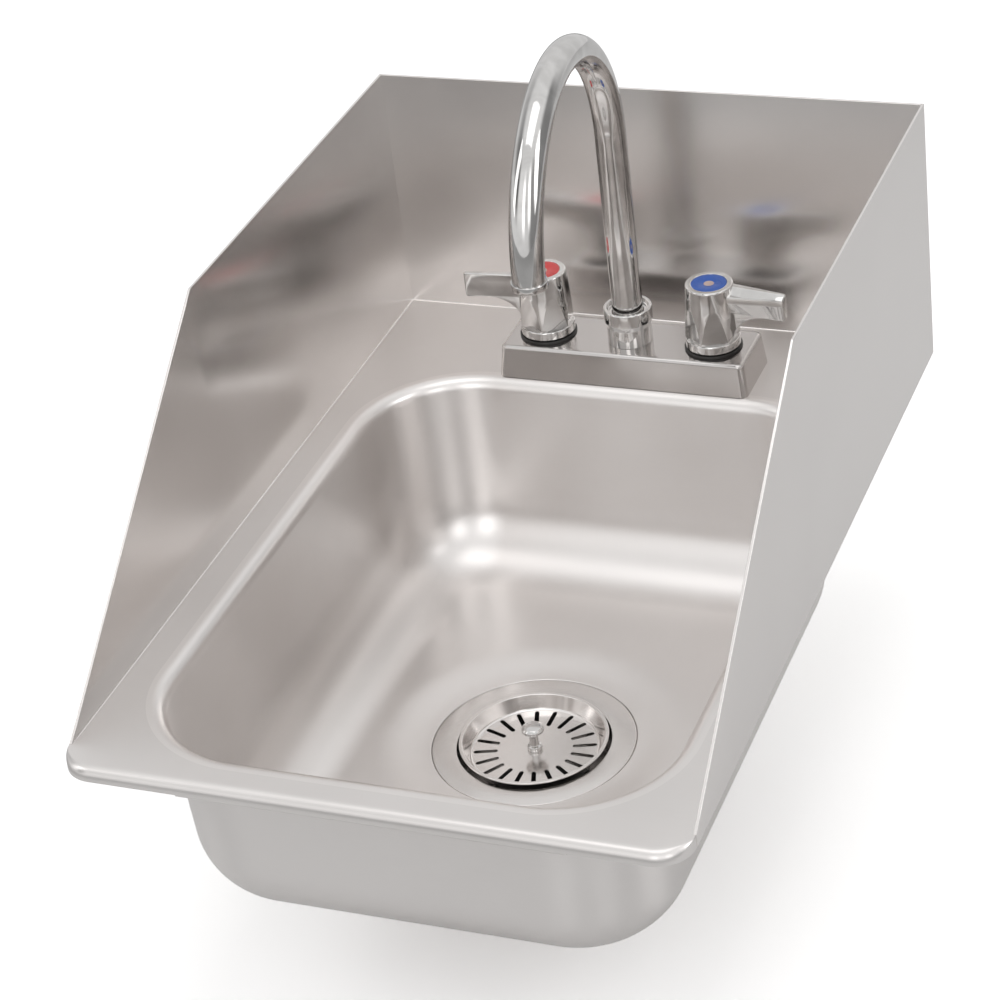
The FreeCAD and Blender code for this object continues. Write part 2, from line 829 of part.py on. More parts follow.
def make_nut(label, x, top):
    """Hexagon nut with its top face against a washer."""
    body = new_body(label, x, FAUCET_Y)
    corner = "(nut_across / sqrt(3))"
    half = "nut_across / 2"
    plan = new_sketch(body, label + "_plan", lift=f"{top} - nut_height")
    corners = [
        (corner, "0"),
        (f"{corner} / 2", half),
        (f"0 - {corner} / 2", half),
        (f"0 - {corner}", "0"),
        (f"0 - {corner} / 2", f"0 - {half}"),
        (f"{corner} / 2", f"0 - {half}"),
    ]
    pad(body, outline(plan, corners), "nut_height")
    thread = new_sketch(body, label + "_thread", lift=top)
    circle(thread, "shank_radius")
    pocket(body, thread, "nut_height + overrun")


# Valves and handles
def make_valve(water, x):
    """Inlet shank, its washer and nut, cartridge and seat ring of one side."""
    shank = new_body(water + "_shank", x, FAUCET_Y)
    foot = f"({BAR_FOOT} - shank_length)"
    washer_foot = f"({DECK_UNDER} - washer_thickness)"
    shoulder = f"({washer_foot} - nut_height - shank_step)"
    turn(
        shank,
        water + "_shank_section",
        [
            ("shank_bore", foot),
            ("shank_end_radius", foot),
            ("shank_end_radius", shoulder),
            ("shank_radius", shoulder),
            ("shank_radius", BAR_FOOT),
            ("shank_bore", BAR_FOOT),
        ],
    )
    washer = new_body(water + "_shank_washer", x, FAUCET_Y)
    name = water + "_washer_section"
    tube(washer, name, "washer_radius", "shank_radius", washer_foot, DECK_UNDER)
    make_nut(water + "_shank_nut", x, washer_foot)
    cartridge = new_body(water + "_cartridge", x, FAUCET_Y)
    name = water + "_cartridge_section"
    bore = "stem_radius + running_gap"
    tube(cartridge, name, "cartridge_radius", bore, BORE_FLOOR, CARTRIDGE_TOP)
    ring = new_body(water + "_seat_ring", x, FAUCET_Y)
    name = water + "_ring_section"
    tube(ring, name, "ring_radius", "cartridge_radius", SHROUD_TOP, RING_TOP)


def make_handle(water, x, turned):
    """Lever handle, pointing along its own +X before it is turned into place."""
    body = new_body(water + "_handle", x, FAUCET_Y, turned)
    hub = turn(
        body,
        water + "_hub_profile",
        [
            ("0", HUB_FOOT),
            ("hub_foot_radius", HUB_FOOT),
            ("hub_foot_radius", f"{HUB_FOOT} + hub_band"),
            ("hub_top_radius", HUB_TOP),
            ("0", HUB_TOP),
        ],
    )
    fillet(body, hub, "hub_round", level(HUB_TOP))
    facet = new_sketch(body, water + "_facet", "XZ_Plane", lift="hub_foot_radius")
    skirt = f"({HUB_FOOT} + hub_band)"
    slope = "(hub_foot_radius - hub_top_radius) / (hub_height - hub_band)"
    apex_radius = f"(hub_foot_radius - facet_height * {slope})"
    corners = [
        ("facet_radius", skirt),
        ("hub_foot_radius + overrun", skirt),
        ("hub_foot_radius + overrun", f"{skirt} + facet_height"),
        (apex_radius, f"{skirt} + facet_height"),
    ]
    cut = pocket(body, outline(facet, corners), "hub_foot_radius * 2")
    pattern(body, cut, "facet_count")
    lever_top = f"({HUB_TOP} - hub_round)"
    web = new_sketch(body, water + "_web", "XZ_Plane", lift="web_thickness / 2")
    web_top = f"({lever_top} - lever_height + overrun)"
    corners = [
        ("0", skirt),
        ("0", web_top),
        ("web_reach", web_top, "web_curve"),
        ("facet_radius", skirt),
    ]
    pad(body, outline(web, corners), "web_thickness", down=True)
    blade = new_sketch(body, water + "_blade_plan", lift=f"{lever_top} - lever_height")
    root, tip = "lever_root_width / 2", "lever_tip_width / 2"
    corners = [
        ("0", f"0 - {root}"),
        ("lever_reach", f"0 - {tip}"),
        ("lever_reach", tip),
        ("0", root),
    ]
    lever = pad(body, outline(blade, corners), "lever_height")
    reach = size("lever_reach")

    def at_tip(edge):
        return edge.BoundBox.XMin > reach * 0.99

    fillet(body, lever, "lever_round", at_tip)
    cavity = new_sketch(body, water + "_hub_cavity", lift=HUB_FOOT)
    pocket(body, circle(cavity, "hub_cavity"), f"{WEB} - {HUB_FOOT}", up=True)
    socket = new_sketch(body, water + "_socket", lift=WEB)
    pocket(body, circle(socket, "stem_radius"), "stem_engagement", up=True)
    seat = new_sketch(body, water + "_index_seat", lift=HUB_TOP)
    pocket(body, circle(seat, "index_radius"), "index_thickness")
    head_top = f"({HUB_TOP} - index_thickness)"
    sink = new_sketch(body, water + "_screw_sink", lift=head_top)
    pocket(body, circle(sink, "screw_head_radius"), "screw_head_height")
    through = new_sketch(body, water + "_screw_hole", lift=head_top)
    pocket(body, circle(through, "screw_radius"), f"{head_top} - {WEB}")

    index = new_body(water + "_index", x, FAUCET_Y)
    disc = new_sketch(index, water + "_index_plan", lift=head_top)
    pad(index, circle(disc, "index_radius"), "index_thickness")

    stem = new_body(water + "_stem", x, FAUCET_Y)
    stem_foot = f"({BORE_FLOOR} + rest_gap)"
    stem_top = f"({WEB} + stem_engagement)"
    rod = new_sketch(stem, water + "_stem_plan", lift=stem_foot)
    pad(stem, circle(rod, "stem_radius"), f"{stem_top} - {stem_foot}")
    tapped = new_sketch(stem, water + "_stem_tapped", lift=stem_top)
    pocket(stem, circle(tapped, "screw_radius"), "screw_grip")

    screw = new_body(water + "_handle_screw", x, FAUCET_Y)
    head_foot = f"({head_top} - screw_head_height)"
    turn(
        screw,
        water + "_screw_profile",
        [
            ("0", f"{stem_top} - screw_grip"),
            ("screw_radius", f"{stem_top} - screw_grip"),
            ("screw_radius", head_foot),
            ("screw_head_radius", head_foot),
            ("screw_head_radius", head_top),
            ("0", head_top),
        ],
    )


# Spout
NUT_LIP_FOOT = (
    "(rim_height + shroud_height + boss_height + rest_gap * 2 + bush_flange_height)"
)
BEND_HEIGHT = (
    "(rim_height + shroud_height + boss_height + rest_gap + bush_flange_height"
    " + spout_riser)"
)
OUTLET = (
    "(rim_height + shroud_height + boss_height + rest_gap + bush_flange_height"
    " + spout_riser - spout_drop)"
)
SPIGOT = "(tube_radius - running_gap)"


def make_spout():
    """Swivel foot in the valve body's boss, the bent tube and its outlet."""
    nut = new_body("spout_nut", y=FAUCET_Y)
    nut_top = f"({SHROUD_TOP} + spout_nut_height)"
    lip = "tube_radius + rest_gap"
    recess = "tower_radius"
    turn(
        nut,
        "spout_nut_profile",
        [
            ("tower_radius", SHROUD_TOP),
            ("spout_nut_foot", SHROUD_TOP),
            ("spout_nut_foot", f"{NUT_LIP_FOOT} - nut_lip"),
            ("spout_nut_radius", NUT_LIP_FOOT),
            ("spout_nut_radius", nut_top),
            (recess, nut_top),
            (recess, f"{NUT_LIP_FOOT} + nut_lip"),
            (lip, f"{NUT_LIP_FOOT} + nut_lip"),
            (lip, NUT_LIP_FOOT),
            ("tower_radius", NUT_LIP_FOOT),
        ],
    )
    flange_foot = f"({TUBE_FOOT} - bush_flange_height)"
    bush = new_body("spout_bush", y=FAUCET_Y)
    nipple = "(tube_radius - tube_wall)"
    turn(
        bush,
        "bush_profile",
        [
            ("bush_bore", SPIGOT_FOOT),
            (SPIGOT, SPIGOT_FOOT),
            (SPIGOT, flange_foot),
            ("bush_flange_radius", flange_foot),
            ("bush_flange_radius", TUBE_FOOT),
            (nipple, TUBE_FOOT),
            (nipple, f"{TUBE_FOOT} + nipple_length"),
            ("bush_bore", f"{TUBE_FOOT} + nipple_length"),
        ],
    )
    ring_radius = f"({SPIGOT} - ring_section / 2)"
    for place, turns in (("lower", "1"), ("upper", "2")):
        middle = f"({SPIGOT_FOOT} + ring_pitch * {turns})"
        depth = f"({SPIGOT} - ring_section)"
        groove = [
            (depth, f"{middle} - ring_section / 2"),
            (f"{SPIGOT} + overrun", f"{middle} - ring_section / 2"),
            (f"{SPIGOT} + overrun", f"{middle} + ring_section / 2"),
            (depth, f"{middle} + ring_section / 2"),
        ]
        turn(bush, place + "_groove", groove, cut=True)
        ring = new_body(f"spout_o_ring_{place}", y=FAUCET_Y)
        half = "ring_section / 2"
        section = [
            (ring_radius, f"{middle} - {half}", half),
            (ring_radius, f"{middle} + {half}", half),
        ]
        turn(ring, place + "_ring_section", section)

    spout = new_body("spout_tube", y=FAUCET_Y, turn="spout_turn")
    path = new_sketch(spout, "spout_path", "YZ_Plane")
    reach = "(0 - spout_bend * 2)"
    outline(
        path,
        [
            ("0", TUBE_FOOT),
            ("0", BEND_HEIGHT, "spout_bend"),
            (reach, BEND_HEIGHT),
            (reach, OUTLET),
        ],
        closed=False,
    )
    section = new_sketch(spout, "tube_section", lift=TUBE_FOOT)
    circle(section, "tube_radius")
    circle(section, "tube_radius - tube_wall")
    pipe = spout.newObject("PartDesign::AdditivePipe", "tube_bend")
    pipe.Profile = section
    pipe.Spine = (path, ["Edge1", "Edge2", "Edge3"])
    doc.recompute()

    x = "spout_bend * 2 * sin(spout_turn)"
    y = f"{FAUCET_Y} - spout_bend * 2 * cos(spout_turn)"
    rim = new_body("outlet_ring", x, y)
    rim_radius = "tube_radius + outlet_rim"
    tube(rim, "rim_section", rim_radius, "tube_radius", OUTLET, f"{OUTLET} + outlet_rim_height")
    insert = new_body("flow_straightener", x, y)
    grid = new_sketch(insert, "straightener_plan", lift=f"{OUTLET} + tube_wall")
    circle(grid, nipple)
    for row in (-2, -1, 0, 1, 2):
        for place in range(5 - abs(row)):
            across = f"straightener_pitch * {place - (4 - abs(row)) / 2}"
            along = f"straightener_pitch * {row} * sqrt(3) / 2"
            circle(grid, "straightener_hole", across, along)
    pad(insert, grid, "straightener_height")


make_rim()
make_bowl()
make_backsplash()
make_side_splash("left_side_splash", f"0 - {SIDE}")
make_side_splash("right_side_splash", f"{SIDE} - panel_steel")
make_rails()
make_strainer()
make_basket()
make_faucet_base()
make_valve("hot", f"0 - {HUB_X}")
make_valve("cold", HUB_X)
make_handle("hot", f"0 - {HUB_X}", "180 + lever_forward")
make_handle("cold", HUB_X, "0 - lever_forward")
make_spout()

for item in doc.Objects:
    if "Invalid" in item.State or "Error" in item.State:
        raise ValueError(f"{item.Name} failed: {item.State}")
for body in parts:
    if body.Shape.isNull() or not body.Shape.isValid():
        raise ValueError(f"{body.Label} has no valid shape")
    body.Shape.exportStep(f"parts/{body.Label}.step")
    print(body.Label, len(body.Shape.Solids), round(body.Shape.Volume))
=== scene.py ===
import math

import bmesh
import bpy
from mathutils import Matrix, Vector


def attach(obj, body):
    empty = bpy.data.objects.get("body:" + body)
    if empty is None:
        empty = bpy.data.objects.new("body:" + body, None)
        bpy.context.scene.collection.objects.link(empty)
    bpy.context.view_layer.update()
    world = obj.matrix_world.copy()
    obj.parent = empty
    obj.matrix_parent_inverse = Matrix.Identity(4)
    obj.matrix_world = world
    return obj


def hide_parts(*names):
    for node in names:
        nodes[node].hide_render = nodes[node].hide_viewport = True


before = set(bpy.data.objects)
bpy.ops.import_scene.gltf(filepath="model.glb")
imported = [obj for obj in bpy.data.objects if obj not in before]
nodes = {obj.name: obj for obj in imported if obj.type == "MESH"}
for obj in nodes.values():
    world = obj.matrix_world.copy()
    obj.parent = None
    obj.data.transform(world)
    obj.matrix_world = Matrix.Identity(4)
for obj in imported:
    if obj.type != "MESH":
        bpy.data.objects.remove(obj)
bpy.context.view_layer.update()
mm = 0.001  # pieces are drawn in millimetres, the camera and lamps stand in metres
print("stage: frame loaded,", len(nodes), "nodes")


# Shader sockets that take part in Python expressions
class Wire:
    def __init__(self, finish, socket):
        self.finish = finish
        self.socket = socket

    def join(self, operation, first, second):
        return self.finish.node("ShaderNodeMath", {"operation": operation}, {0: first, 1: second})

    def __add__(self, other):
        return self.join("ADD", self, other)

    def __radd__(self, other):
        return self.join("ADD", other, self)

    def __sub__(self, other):
        return self.join("SUBTRACT", self, other)

    def __rsub__(self, other):
        return self.join("SUBTRACT", other, self)

    def __mul__(self, other):
        return self.join("MULTIPLY", self, other)

    def __rmul__(self, other):
        return self.join("MULTIPLY", other, self)


class Finish:
    def __init__(self, name, tree=None):
        self.material = None
        if tree is None:
            self.material = bpy.data.materials.new(name)
            self.material.use_nodes = True
            tree = self.material.node_tree
        self.tree = tree

    def node(self, kind, settings=None, inputs=None, output=0):
        made = self.tree.nodes.new(kind)
        for key, value in (settings or {}).items():
            if key == "stops":
                self.rampStops(made.color_ramp, value)
            else:
                setattr(made, key, value)
        for key, value in (inputs or {}).items():
            self.feed(made.inputs[key], value)
        return Wire(self, made.outputs[output])

    def rampStops(self, ramp, stops):
        while len(ramp.elements) < len(stops):
            ramp.elements.new(1)
        for element, (position, shade) in zip(ramp.elements, stops):
            element.position = position
            element.color = (*shade, 1)

    def feed(self, socket, value):
        if isinstance(value, Wire):
            self.tree.links.new(value.socket, socket)
        else:
            socket.default_value = value

    def surface(self, shader=None, **values):
        shader = shader or self.tree.nodes["Principled BSDF"]
        for key, value in values.items():
            words = [w.capitalize() for w in key.split("_")]
            self.feed(shader.inputs[" ".join(words).replace("Ior", "IOR")], value)

    def place(self):
        return self.node("ShaderNodeTexCoord", output="Object")

    def stretch(self, vector, scale):
        return self.node("ShaderNodeVectorMath", {"operation": "MULTIPLY"}, {0: vector, 1: scale})

    def noise(self, vector, detail=2.0, distortion=0.0, scale=1.0):
        inputs = {"Vector": vector, "Scale": scale, "Detail": detail, "Distortion": distortion}
        return self.node("ShaderNodeTexNoise", None, inputs)

    def ease(self, value, low, high, first=0.0, last=1.0):
        inputs = {"Value": value, "From Min": low, "From Max": high}
        inputs.update({"To Min": first, "To Max": last})
        return self.node("ShaderNodeMapRange", {"interpolation_type": "SMOOTHSTEP"}, inputs)

    def vary(self, value, first, last):
        return self.ease(value, 0.3, 0.7, first, last)

    def blend(self, mask, first, second):
        return self.node("ShaderNodeMix", {"data_type": "FLOAT"}, {0: mask, 2: first, 3: second})

    def tint(self, mask, first, second):
        inputs = {0: mask, 6: colour(first), 7: colour(second)}
        return self.node("ShaderNodeMix", {"data_type": "RGBA"}, inputs, 2)

    def bump(self, height, strength, distance):
        inputs = {"Height": height, "Strength": strength, "Distance": distance * mm}
        return self.node("ShaderNodeBump", None, inputs)


def colour(shade):
    return shade if isinstance(shade, Wire) else (*shade, 1)


# Finishes
steelLook = {
    "light": (0.825, 0.798, 0.782),
    "dark": (0.785, 0.757, 0.741),
    "tone": (0.34, 0.66),
    "grainFine": 4200.0,  # lines per metre across the grain
    "grainLong": 30.0,
    "cloud": 9.0,
    "smudge": 36.0,
    "pores": 1600.0,
    "bumpDepth": 0.01,
    "spread": 0.03,  # how far the roughness strays either way
    "smear": 0.01,
    "lying": (0.12, 0.42),  # how level a face is where the upright look gives way
    "floorGrain": (0.04, 0.16),
}


def brushedSteel(name, roughness, grainBump, stretched=0.0, turn=0.25, lengthwise=False, shade=1.0):
    finish = Finish(name)
    place = finish.place()
    facing = finish.node("ShaderNodeNewGeometry", output="Normal")
    up = finish.node("ShaderNodeSeparateXYZ", None, {0: facing}, 2)
    level = finish.node("ShaderNodeMath", {"operation": "ABSOLUTE"}, {0: up})
    flat = finish.ease(level, *steelLook["lying"])
    steep = finish.ease(level, *steelLook["floorGrain"])
    fine, long = steelLook["grainFine"], steelLook["grainLong"]
    wallGrain = finish.noise(finish.stretch(place, (long, long, fine)), 3.0)
    across = (fine, long, long) if lengthwise else (long, fine, long)
    floorGrain = finish.noise(finish.stretch(place, across), 3.0)
    grain = finish.blend(steep, wallGrain, floorGrain)
    pores = finish.noise(place, 2.0, 0.0, steelLook["pores"])
    cloud = finish.noise(place, 2.0, 0.4, steelLook["cloud"])
    smudge = finish.noise(place, 4.0, 0.8, steelLook["smudge"])
    tone = finish.ease(cloud * 0.7 + grain * 0.15 + smudge * 0.15, *steelLook["tone"])
    # the shade factor darkens the whole base colour; on the deck, cover and drain copies below it is
    # painted shade
    light = tuple(c * shade for c in steelLook["light"])
    dark = tuple(c * shade for c in steelLook["dark"])
    look = {
        "base_color": finish.tint(tone, dark, light),
        "metallic": 1.0,
        "normal": finish.bump(grain * 0.1 + pores * 0.9, grainBump, steelLook["bumpDepth"]),
    }
    stray = grain * 0.2 + cloud * 0.6 + smudge * 0.2
    spread = steelLook["spread"]
    finish.surface(roughness=finish.vary(stray, roughness - spread, roughness + spread), **look)
    if stretched:  # upright faces smear reflections one way, level ones don't
        lying = finish.tree.nodes["Principled BSDF"]
        upright = finish.tree.nodes.new("ShaderNodeBsdfPrincipled")
        wide = roughness + steelLook["smear"]  # along the smear; the stretch narrows it across
        finish.surface(
            upright,
            roughness=finish.vary(stray, wide - spread, wide + spread),
            anisotropic=stretched,
            anisotropic_rotation=turn,
            **look,
        )
        sides = {0: flat, 1: Wire(finish, upright.outputs[0]), 2: Wire(finish, lying.outputs[0])}
        both = finish.node("ShaderNodeMixShader", None, sides)
        finish.feed(finish.tree.nodes["Material Output"].inputs["Surface"], both)
    return finish.material


patchy = (0.35, 0.65)  # where the patches of a colour start and end in their noise


def chromePlate(name, roughness):
    finish = Finish(name)
    place = finish.place()
    smear = finish.noise(place, 3.0, 0.6, 60.0)
    specks = finish.noise(place, 2.0, 0.0, 900.0)
    ripple = finish.noise(place, 1.0, 0.0, 45.0)
    # the chrome's base colour is set low: painted shade standing in for the darker surroundings that it
    # mirrors; the smear noise varies it at random
    finish.surface(
        base_color=finish.tint(finish.ease(smear, *patchy), (0.59, 0.58, 0.57), (0.69, 0.68, 0.67)),
        metallic=1.0,
        roughness=finish.vary(smear * 0.7 + specks * 0.3, roughness * 0.6, roughness * 1.9),
        normal=finish.bump(ripple, 0.12, 0.25),
    )
    return finish.material


def mottled(name, light, dark, roughness, grain, depth, strength=0.3, patches=(0.4, 55.0), metallic=0.0):
    finish = Finish(name)
    place = finish.place()
    patch = finish.noise(place, 4.0, *patches)
    pores = finish.noise(place, 3.0, 0.0, grain)
    finish.surface(
        base_color=finish.tint(finish.ease(patch, *patchy), dark, light),
        metallic=metallic,
        roughness=finish.vary(patch * 0.5 + pores * 0.5, roughness - 0.08, roughness + 0.1),
        normal=finish.bump(pores, strength, depth),
    )
    return finish.material


def castMetal(name, light, dark, roughness, grain=700.0, strength=0.25):
    return mottled(name, light, dark, roughness, grain, 0.06, strength, (0.5, 70.0), 1.0)


# deckSteel, coverSteel and drainSteel are darker copies of one steel: their shade factors are painted
# shade, standing in for less light on the deck, the faucet cover and the drain flange
deckSteel = brushedSteel("deckSteel", 0.33, 0.02, shade=0.93)
bowlSteel = brushedSteel("bowlSteel", 0.32, 0.02, 0.94, lengthwise=True)
sheetSteel = brushedSteel("sheetSteel", 0.21, 0.03, 0.75, turn=0.0)
coverSteel = brushedSteel("coverSteel", 0.13, 0.03, shade=0.71)
drainSteel = brushedSteel("drainSteel", 0.2, 0.03, shade=0.92)
basketSteel = brushedSteel("basketSteel", 0.16, 0.03)
railSteel = brushedSteel("railSteel", 0.32, 0.1, shade=0.95)
chrome = chromePlate("chrome", 0.05)
zincMetal = castMetal("zincMetal", (0.62, 0.61, 0.58), (0.44, 0.43, 0.41), 0.38)
brassMetal = castMetal("brassMetal", (0.78, 0.56, 0.26), (0.60, 0.41, 0.17), 0.37)
screwMetal = castMetal("screwMetal", (0.66, 0.65, 0.63), (0.48, 0.47, 0.46), 0.16, 900.0, 0.15)
blackRubber = mottled("blackRubber", (0.022, 0.021, 0.020), (0.012, 0.012, 0.012), 0.55, 900.0, 0.06)
# dark plastic of the seat rings; its darkness is also painted shade for the gap under each handle's
# skirt
darkPlasticAndShade = mottled("darkPlasticAndShade", (0.030, 0.028, 0.027), (0.018, 0.017, 0.016), 0.36, 1200.0, 0.03)
redFibre = mottled("redFibre", (0.42, 0.10, 0.06), (0.28, 0.06, 0.04), 0.7, 1500.0, 0.08)
redPlastic = mottled("redPlastic", (0.84, 0.075, 0.075), (0.74, 0.055, 0.055), 0.30, 1400.0, 0.02)
bluePlastic = mottled("bluePlastic", (0.030, 0.13, 0.56), (0.020, 0.10, 0.46), 0.30, 1400.0, 0.02)
dotPlastic = mottled("dotPlastic", (0.74, 0.56, 0.50), (0.62, 0.46, 0.42), 0.35, 1400.0, 0.02)
whitePlastic = mottled("whitePlastic", (0.78, 0.78, 0.76), (0.68, 0.68, 0.66), 0.4, 1200.0, 0.03)
print("stage: finishes made")


# Shapes in millimetres
def arcBetween(corner, before, after, radius, steps):
    toBefore = (Vector(before) - Vector(corner)).normalized()
    toAfter = (Vector(after) - Vector(corner)).normalized()
    half = toBefore.angle(toAfter) / 2
    reach = radius / math.tan(half)
    centre = Vector(corner) + (toBefore + toAfter).normalized() * radius / math.sin(half)
    start = Vector(corner) + toBefore * reach - centre
    end = Vector(corner) + toAfter * reach - centre
    sweep = start.angle(end)
    points = []
    for i in range(steps + 1):
        t = i / steps
        part = (start * math.sin((1 - t) * sweep) + end * math.sin(t * sweep)) / math.sin(sweep)
        points.append(tuple(centre + part))
    return points


def rounded(corners, steps=4, closed=True):
    # corners are (x, y) or (x, y, radius)
    points = []
    count = len(corners)
    for i, corner in enumerate(corners):
        edge = not closed and i in (0, count - 1)
        if len(corner) == 2 or edge:
            points.append(tuple(corner[:2]))
            continue
        before, after = corners[i - 1][:2], corners[(i + 1) % count][:2]
        points += arcBetween(corner[:2], before, after, corner[2], steps)
    return points


def smoothed(mesh, angle):
    mesh.polygons.foreach_set("use_smooth", [True] * len(mesh.polygons))
    mesh.set_sharp_from_angle(angle=math.radians(angle))


def rawMesh(name, points, faces, owners=None):
    mesh = bpy.data.meshes.new(name)
    mesh.from_pydata([tuple(c * mm for c in p) for p in points], [], faces)
    if owners:
        mesh.polygons.foreach_set("material_index", owners)
    return mesh


def welded(mesh, angle, merge=0.002, repair=False, outward=True):
    form = bmesh.new()
    form.from_mesh(mesh)
    bmesh.ops.remove_doubles(form, verts=form.verts, dist=merge * mm)
    if repair:
        bmesh.ops.dissolve_degenerate(form, edges=form.edges, dist=merge * mm * 0.5)
        loose = [v for v in form.verts if not v.link_faces]
        bmesh.ops.delete(form, geom=loose, context="VERTS")
    if outward:
        bmesh.ops.recalc_face_normals(form, faces=form.faces)
    form.to_mesh(mesh)
    form.free()
    smoothed(mesh, angle)
    return mesh


def meshFrom(name, points, faces, owners=None, merge=0.002, angle=32):
    return welded(rawMesh(name, points, faces, owners), angle, merge, repair=True)


def quarter(steps, first=0, last=0):
    # cosine and sine at equal steps of a quarter turn, less some at its start or end
    angles = [math.radians(90 * i / steps) for i in range(first, steps + 1 - last)]
    return [(math.cos(a), math.sin(a)) for a in angles]


def turned(profile, segments=96, closed=True):
    # profile is (radius, z) points, turned about z
    points, faces = [], []
    count = len(profile)
    for i in range(segments):
        angle = 2 * math.pi * i / segments
        points += [(r * math.cos(angle), r * math.sin(angle), z) for r, z in profile]
    runs = count if closed else count - 1
    for i in range(segments):
        for j in range(runs):
            a, b = i * count + j, i * count + (j + 1) % count
            c, d = ((i + 1) % segments) * count + (j + 1) % count, ((i + 1) % segments) * count + j
            faces.append((a, b, c, d))
    return points, faces


def skin(loops, closed=True, caps=()):
    points = [p for loop in loops for p in loop]
    count = len(loops[0])
    faces = []
    for i in range(len(loops) - 1):
        for j in range(count if closed else count - 1):
            a, b = i * count + j, i * count + (j + 1) % count
            faces.append((a, b, b + count, a + count))
    for cap in caps:
        start = (cap % len(loops)) * count
        faces.append(tuple(range(start, start + count)))
    return points, faces


def moved(points, x=0.0, y=0.0, z=0.0, turn=0.0):
    c, s = math.cos(math.radians(turn)), math.sin(math.radians(turn))
    return [(p[0] * c - p[1] * s + x, p[0] * s + p[1] * c + y, p[2] + z) for p in points]


def inScene(name, data):
    item = bpy.data.objects.new(name, data)
    bpy.context.scene.collection.objects.link(item)
    return item


def finalMesh(item):
    # the mesh with the item's modifiers or curve settings worked in
    bpy.context.view_layer.update()
    ready = item.evaluated_get(bpy.context.evaluated_depsgraph_get())
    return bpy.data.meshes.new_from_object(ready)


def addPiece(name, mesh, body, finishes, stands):
    piece = inScene(name, mesh)
    for finish in finishes:
        mesh.materials.append(finish)
    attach(piece, body)
    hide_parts(*stands)
    return piece


def formPiece(name, form, place, body, slot, finishes, stands, **meshing):
    points, faces = form
    mesh = meshFrom(name, moved(points, *place), faces, **meshing)
    return addPiece(name, mesh, body, finishes, stands)


def flatShaded(piece):
    weighted = piece.modifiers.new("flatShading", "WEIGHTED_NORMAL")
    weighted.keep_sharp = True


def softEdges(piece, width, angle):
    bevel = piece.modifiers.new("edgeRound", "BEVEL")
    bevel.width = width * mm
    bevel.segments = 2
    bevel.limit_method = "ANGLE"
    bevel.angle_limit = math.radians(angle)
    bevel.harden_normals = False
    flatShaded(piece)


def lathePiece(name, profile, place, body, slot, finish, node, segments=96, closed=True):
    form = turned(profile, segments, closed)
    return formPiece(name, form, place, body, slot, [finish], (node,))


def ringPiece(name, outer, inner, low, high, edge, place, body, slot, finish, node, segments=96):
    inside = edge * 0.6
    corners = [(outer, low, edge), (outer, high, edge), (inner, high, inside), (inner, low, inside)]
    return lathePiece(name, rounded(corners, 4), place, body, slot, finish, node, segments)


def plateMesh(name, outlines, low, high, edge):
    # flat plate with holes, its edges rounded, from a filled curve
    curve = bpy.data.curves.new(name, "CURVE")
    curve.dimensions = "2D"
    curve.fill_mode = "BOTH"
    curve.extrude = (high - low) / 2 * mm - edge * mm
    curve.bevel_depth = edge * mm
    curve.bevel_resolution = 2
    curve.offset = -edge * mm
    for outline in outlines:
        spline = curve.splines.new("POLY")
        spline.points.add(len(outline) - 1)
        for point, (x, y) in zip(spline.points, outline):
            point.co = (x * mm, y * mm, 0, 1)
        spline.use_cyclic_u = True
    holder = inScene(name, curve)
    mesh = finalMesh(holder)
    bpy.data.objects.remove(holder)
    bpy.data.curves.remove(curve)
    mesh.transform(Matrix.Translation((0, 0, (low + high) / 2 * mm)))
    return welded(mesh, 30)


def carved(piece, operation, points, faces):
    # Boolean with a throwaway form, applied to the piece's mesh
    tool = inScene("carver", meshFrom("carver", points, faces))
    cut = piece.modifiers.new("carve", "BOOLEAN")
    cut.operation = operation
    cut.solver = "EXACT"
    cut.object = tool
    mesh = finalMesh(piece)
    piece.modifiers.remove(cut)
    old = piece.data
    piece.data = mesh
    mesh.name = old.name
    bpy.data.meshes.remove(old)
    bpy.data.objects.remove(tool)
    welded(mesh, 32, outward=False)


def ringLoop(radius, lift, count):
    turn = [2 * math.pi * i / count for i in range(count)]
    return [(radius * math.cos(t), radius * math.sin(t), lift) for t in turn]


# Basin: rim, bowl and drain recess in one sheet
basin = {
    "side": 165.0,
    "back": 483.0,
    "deckTop": 7.0,
    "steel": 1.2,
    "frontCorner": 18.5,
    "edgeRound": 5.0,
    "skirtStep": 1.0,
    "panelEdge": 0.4,  # rounding of the edges that the panels cover
    "bowlHalf": 137.0,
    "bowlFront": 26.0,
    "bowlBack": 396.0,
    "bowlCorner": 60.0,
    "roll": 8.0,
    "draft": 3.0,  # degrees
    "floor": -109.0,
    "cove": 42.0,
    "drainY": 216.0,
    "wellRadius": 88.0,
    "wellFloor": -112.0,
    "wellStep": 0.5,
    "seatRadius": 57.4,
    "seat": -114.6,
    "seatRings": (55.0, 50.0, 44.8),  # the last is the drain hole
    "panelSkin": 0.15,
    "cornerSteps": 24,
    "acrossSteps": 30,
    "alongSteps": 44,
    "rollSteps": 12,
    "wallSteps": 10,
    "coveSteps": 18,
    "wellSteps": 10,
    "deckRun": (1.5, 2.0),  # level sheet inside the front edge and outside the bowl's roll
}


def roundedLoop(left, right, front, back, radii, lift, across, along, steps):
    # anticlockwise from the front side; radii: front left, front right, back right, back left
    a, b, c, d = radii
    corners = (
        (right - b, front + b, b, -90),
        (right - c, back - c, c, 0),
        (left + d, back - d, d, 90),
        (left + a, front + a, a, 180),
    )
    runs = (
        ((left + a, front), (right - b, front), across),
        ((right, front + b), (right, back - c), along),
        ((right - c, back), (left + d, back), across),
        ((left, back - d), (left, front + a), along),
    )
    loop = []
    for (start, end, count), (x, y, radius, first) in zip(runs, corners):
        for i in range(count):
            t = i / count
            loop.append((start[0] + (end[0] - start[0]) * t, start[1] + (end[1] - start[1]) * t, lift))
        for i in range(steps):
            angle = math.radians(first + 90 * i / steps)
            loop.append((x + radius * math.cos(angle), y + radius * math.sin(angle), lift))
    return loop


